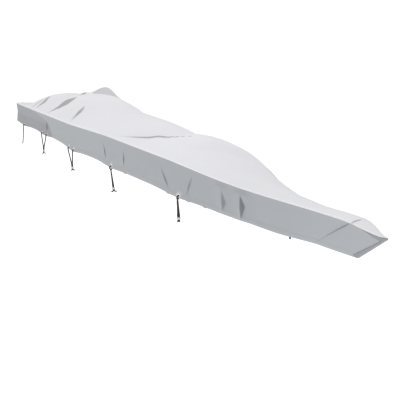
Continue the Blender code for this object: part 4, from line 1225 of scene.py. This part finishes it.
world = bpy.data.worlds.new("studio")
world.use_nodes = True
world.node_tree.nodes.clear()
bpy.context.scene.world = world
sky = Graph(world.node_tree)
seen = sky.node("ShaderNodeLightPath", {}, {}, "Is Camera Ray")
soft, white = (sky.node("ShaderNodeBackground", {}, {"Color": WHITE, "Strength": strength})
               for strength in (STUDIO_LIGHT, BACKGROUND))
sky.node("ShaderNodeOutputWorld", {}, {0: sky.node("ShaderNodeMixShader", {}, {0: seen, 1: soft, 2: white})})
bpy.context.scene.view_settings.view_transform = "Standard"
print("light:", overhead.name, "and the studio round it")

# %% [markdown]
# ## Cloth as a material
#
# Coated polyester is a plain weave under a thin film. Close up it is a field of tiny squares, a fold line is
# painted a little darker as the shade that the fold holds, and the ridges that rub are a little paler. The weave
# comes from the UV map, which is in metres, so a thread has its real size. The painted shade of the folds, of the
# hump and of the skirt's stern end comes from attributes that were stored when the cloth was made, and so does the
# wear. Formulas are written with the wires from before.

# %% Helpers for materials
class Material(Graph):
    def __init__(self, name):
        material = materials[name]
        material.use_nodes = True
        material.node_tree.nodes.clear()
        super().__init__(material.node_tree)

    def number(self, name):
        return self.node("ShaderNodeAttribute", {"attribute_name": name}, {}, "Fac")

    def noise(self, size, detail=2.0, stretch=(1.0, 1.0, 1.0)):
        """Noise from 0 to 1 whose patches are about this many metres across."""
        place = self.node("ShaderNodeTexCoord", {}, {}, "Object")
        scaled = self.node("ShaderNodeVectorMath", {"operation": "MULTIPLY"}, {0: place, 1: stretch})
        return self.node("ShaderNodeTexNoise", {}, {"Vector": scaled, "Scale": 1.0 / size, "Detail": detail})

    def mix(self, factor, first, second, blend="MIX"):
        """Mix two colours. A plain tuple is a colour."""
        first, second = ((*c, 1.0) if isinstance(c, tuple) else c for c in (first, second))
        return self.node("ShaderNodeMix", {"data_type": "RGBA", "blend_type": blend},
                         {0: factor, 6: first, 7: second}, 2)

    def tinted(self, colour, brightness):
        """A colour times a brightness that varies over the surface."""
        grey = self.node("ShaderNodeCombineColor", {}, {0: brightness, 1: brightness, 2: brightness})
        return self.mix(1.0, colour, grey, "MULTIPLY")

    def ramp(self, value, low, high):
        return self.node("ShaderNodeMapRange", {"interpolation_type": "SMOOTHSTEP"}, {0: value, 1: low, 2: high})

    def bump(self, height, distance, strength=1.0):
        return self.node("ShaderNodeBump", {}, {"Height": height, "Distance": distance, "Strength": strength})

    def shade(self, **inputs):
        """Finish with a Principled shader. An input's name has _ for each space."""
        named = {key.replace("_", " "): value for key, value in inputs.items()}
        self.node("ShaderNodeOutputMaterial", {}, {0: self.node("ShaderNodeBsdfPrincipled", {}, named)})


CLOUD_SIZE, BLOTCH_SIZE, SLUB_SIZE, SLUB_STRETCH = 0.55, 0.045, 0.004, (1.0, 1.0, 5.0)
CLOUDY, UNEVEN, DARKEST = 0.05, 0.03, 0.93  # how far brightness varies broadly and in each finer way, and its least
WORN, DULL_BACK, BACK_SHADE = 0.30, 0.8, 0.62


def cloth_material(name, colour, folded, shade_patch_colour, thread, seed):
    """Woven cloth with a film on it. Its second and third colours are painted shade. Thread is a yarn's width in
    metres.
    """
    m = Material(name)
    both = m.node("ShaderNodeSeparateXYZ", {}, {0: m.node("ShaderNodeUVMap", {"uv_map": "cloth"})})
    u, v = both, Wire(m, both.socket.node.outputs[1])
    weave = ((u * (pi / thread)).sine() * (v * (pi / thread)).sine()) * 0.5 + 0.5
    slub = m.noise(SLUB_SIZE, 2.0, SLUB_STRETCH)
    cloudy, blotchy = m.noise(CLOUD_SIZE + seed * 0.1), m.noise(BLOTCH_SIZE, 3.0)
    brightness = cloudy * CLOUDY + blotchy * UNEVEN + weave * UNEVEN + slub * UNEVEN + DARKEST
    worn = m.mix(m.number("wear") * WORN, colour, tuple(0.5 + 0.5 * c for c in colour))
    # painted shade: darker on the hump and on the starboard skirt's stern end
    shade_patched_colour = m.mix(m.ramp(m.number("painted_shade_patch"), 0.3, 0.7), worn, shade_patch_colour)
    # painted shade: the base colour is darker in the creases
    crease_shaded_colour = m.mix(m.ramp(m.number("crease"), 0.08, 0.92), shade_patched_colour, folded)
    both_sides = m.mix(m.number("back") * DULL_BACK, crease_shaded_colour, tuple(BACK_SHADE * c for c in colour))
    m.shade(Base_Color=m.tinted(both_sides, brightness), Roughness=blotchy * 0.15 + 0.58,
            Normal=m.bump(weave + slub * 0.5, thread * 0.25, 0.5),
            Sheen_Weight=0.10, Sheen_Roughness=0.5, Specular_IOR_Level=0.25)
    print("cloth:", name)


# Each cloth's second colour is the shade painted into its creases, its third the shade painted on the hump and the
# skirt's stern end.
cloth_material("top_cloth", (0.76, 0.76, 0.79), (0.40, 0.375, 0.395), (0.56, 0.565, 0.58), 0.0009, 1)
cloth_material("skirt_cloth", (0.366, 0.381, 0.400), (0.20, 0.21, 0.222), (0.285, 0.294, 0.309), 0.0009, 2)
# the nose band's colour is darker than the skirt's, as painted shade on the faces of the bow that turn from the light
cloth_material("nose_cloth", (0.27, 0.275, 0.29), (0.15, 0.15, 0.16), (0.2, 0.2, 0.2), 0.0014, 3)

# %% Thread, metal, cord and plastic
m = Material("thread")
m.shade(Base_Color=m.tinted((0.42, 0.43, 0.45), m.noise(0.002) * 0.4 + 0.8), Roughness=0.75)

m = Material("eyelet_metal")
dull = m.ramp(m.noise(0.006, 4.0), 0.45, 0.75)
m.shade(Base_Color=m.mix(dull, (0.78, 0.77, 0.76), (0.55, 0.54, 0.53)), Metallic=0.6, Roughness=dull * 0.25 + 0.38,
        Normal=m.bump(m.noise(0.0015), 0.00008))

m = Material("cord")
BRAID_TURN, CARRIERS = 0.020, 8.0  # the length of one turn of the braid, and how many strands go each way
along, around = m.number("along"), m.math("ARCTAN2", m.number("around_y"), m.number("around_x"))
turns, carriers = along * (2 * pi / BRAID_TURN), around * CARRIERS
one_way, other_way = (carriers + turns * 2.0).sine(), (carriers - turns * 2.0).sine()
braid = (one_way * other_way) * 0.5 + 0.5
fuzz = m.noise(0.0012)
# The cord's base colour follows the braid: painted shade darkens its grooves, and half of its crests are paler.
paler_crests = m.ramp((one_way + other_way) * 0.5, 0.75, 0.95)
black = m.mix(paler_crests * 0.35, (0.018, 0.018, 0.020), (0.10, 0.10, 0.11))
m.shade(Base_Color=m.tinted(black, braid * 0.8 + fuzz * 0.4 + 0.4), Roughness=fuzz * 0.2 + 0.6,
        Normal=m.bump(braid + fuzz * 0.3, 0.0005), Sheen_Weight=0.15)

m = Material("ring_plastic")
scuffed = m.ramp(m.noise(0.004, 3.0), 0.5, 0.8)
m.shade(Base_Color=m.mix(scuffed * 0.5, (0.60, 0.54, 0.55), (0.72, 0.68, 0.68)), Roughness=scuffed * 0.3 + 0.35,
        Normal=m.bump(m.noise(0.0008), 0.00004), Coat_Weight=0.1)

m = Material("floor")
m.shade(Base_Color=m.tinted((0.62, 0.62, 0.62), m.noise(0.8) * 0.02 + 0.98), Roughness=0.9,
        Emission_Color=WHITE, Emission_Strength=FLOOR_GLOW)
print("materials:", sorted(materials))

# %% Give each piece its material, hide the solids it replaces, and attach it to the root
SHEETS = (  # the cloth, its material, the solid it replaces, its flat size, how it is held, its area, what is on it
    (top, "top_cloth", "top_panel", (2.75, 6.15), "stretched", 12.5, []),
    (sides["starboard"], "skirt_cloth", "skirt_starboard", (0.30, 6.1), "hung", 1.75, [stitches["starboard"]]),
    (sides["port"], "skirt_cloth", "skirt_port", (0.30, 6.1), "hung", 1.75, [stitches["port"]]),
    (stern, "skirt_cloth", "skirt_transom", (0.40, 2.04), "hung", 0.72, [stitches["transom"]]),
    (band, "nose_cloth", "nose_band", (0.30, 0.40), "hung", 0.036, [stitches["band"]]),
)
for cloth, material, node, *_ in SHEETS:
    cloth.data.materials.append(materials[material])
    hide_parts(node)
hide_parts(*[f"eyelet_{side}_{number}" for side in SIDES for number in range(1, 8)])
for (name, side), ring in rings.items():
    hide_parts(f"{name}_{side}_ring")
for tie, side, index, cord, _ in cords:
    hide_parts(f"{tie[0]}_{side}_strand_{index + 1}")
slots = {"top_cloth": [top], "skirt_cloth": [*sides.values(), stern, *stitches.values()], "nose_cloth": [band],
         "eyelet_metal": [eyelets], "cord": [*(cord for *_, cord, _ in cords), *bindings.values()],
         "ring_plastic": list(rings.values())}
for slot, pieces in slots.items():
    for piece in pieces:
        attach(piece, "root")
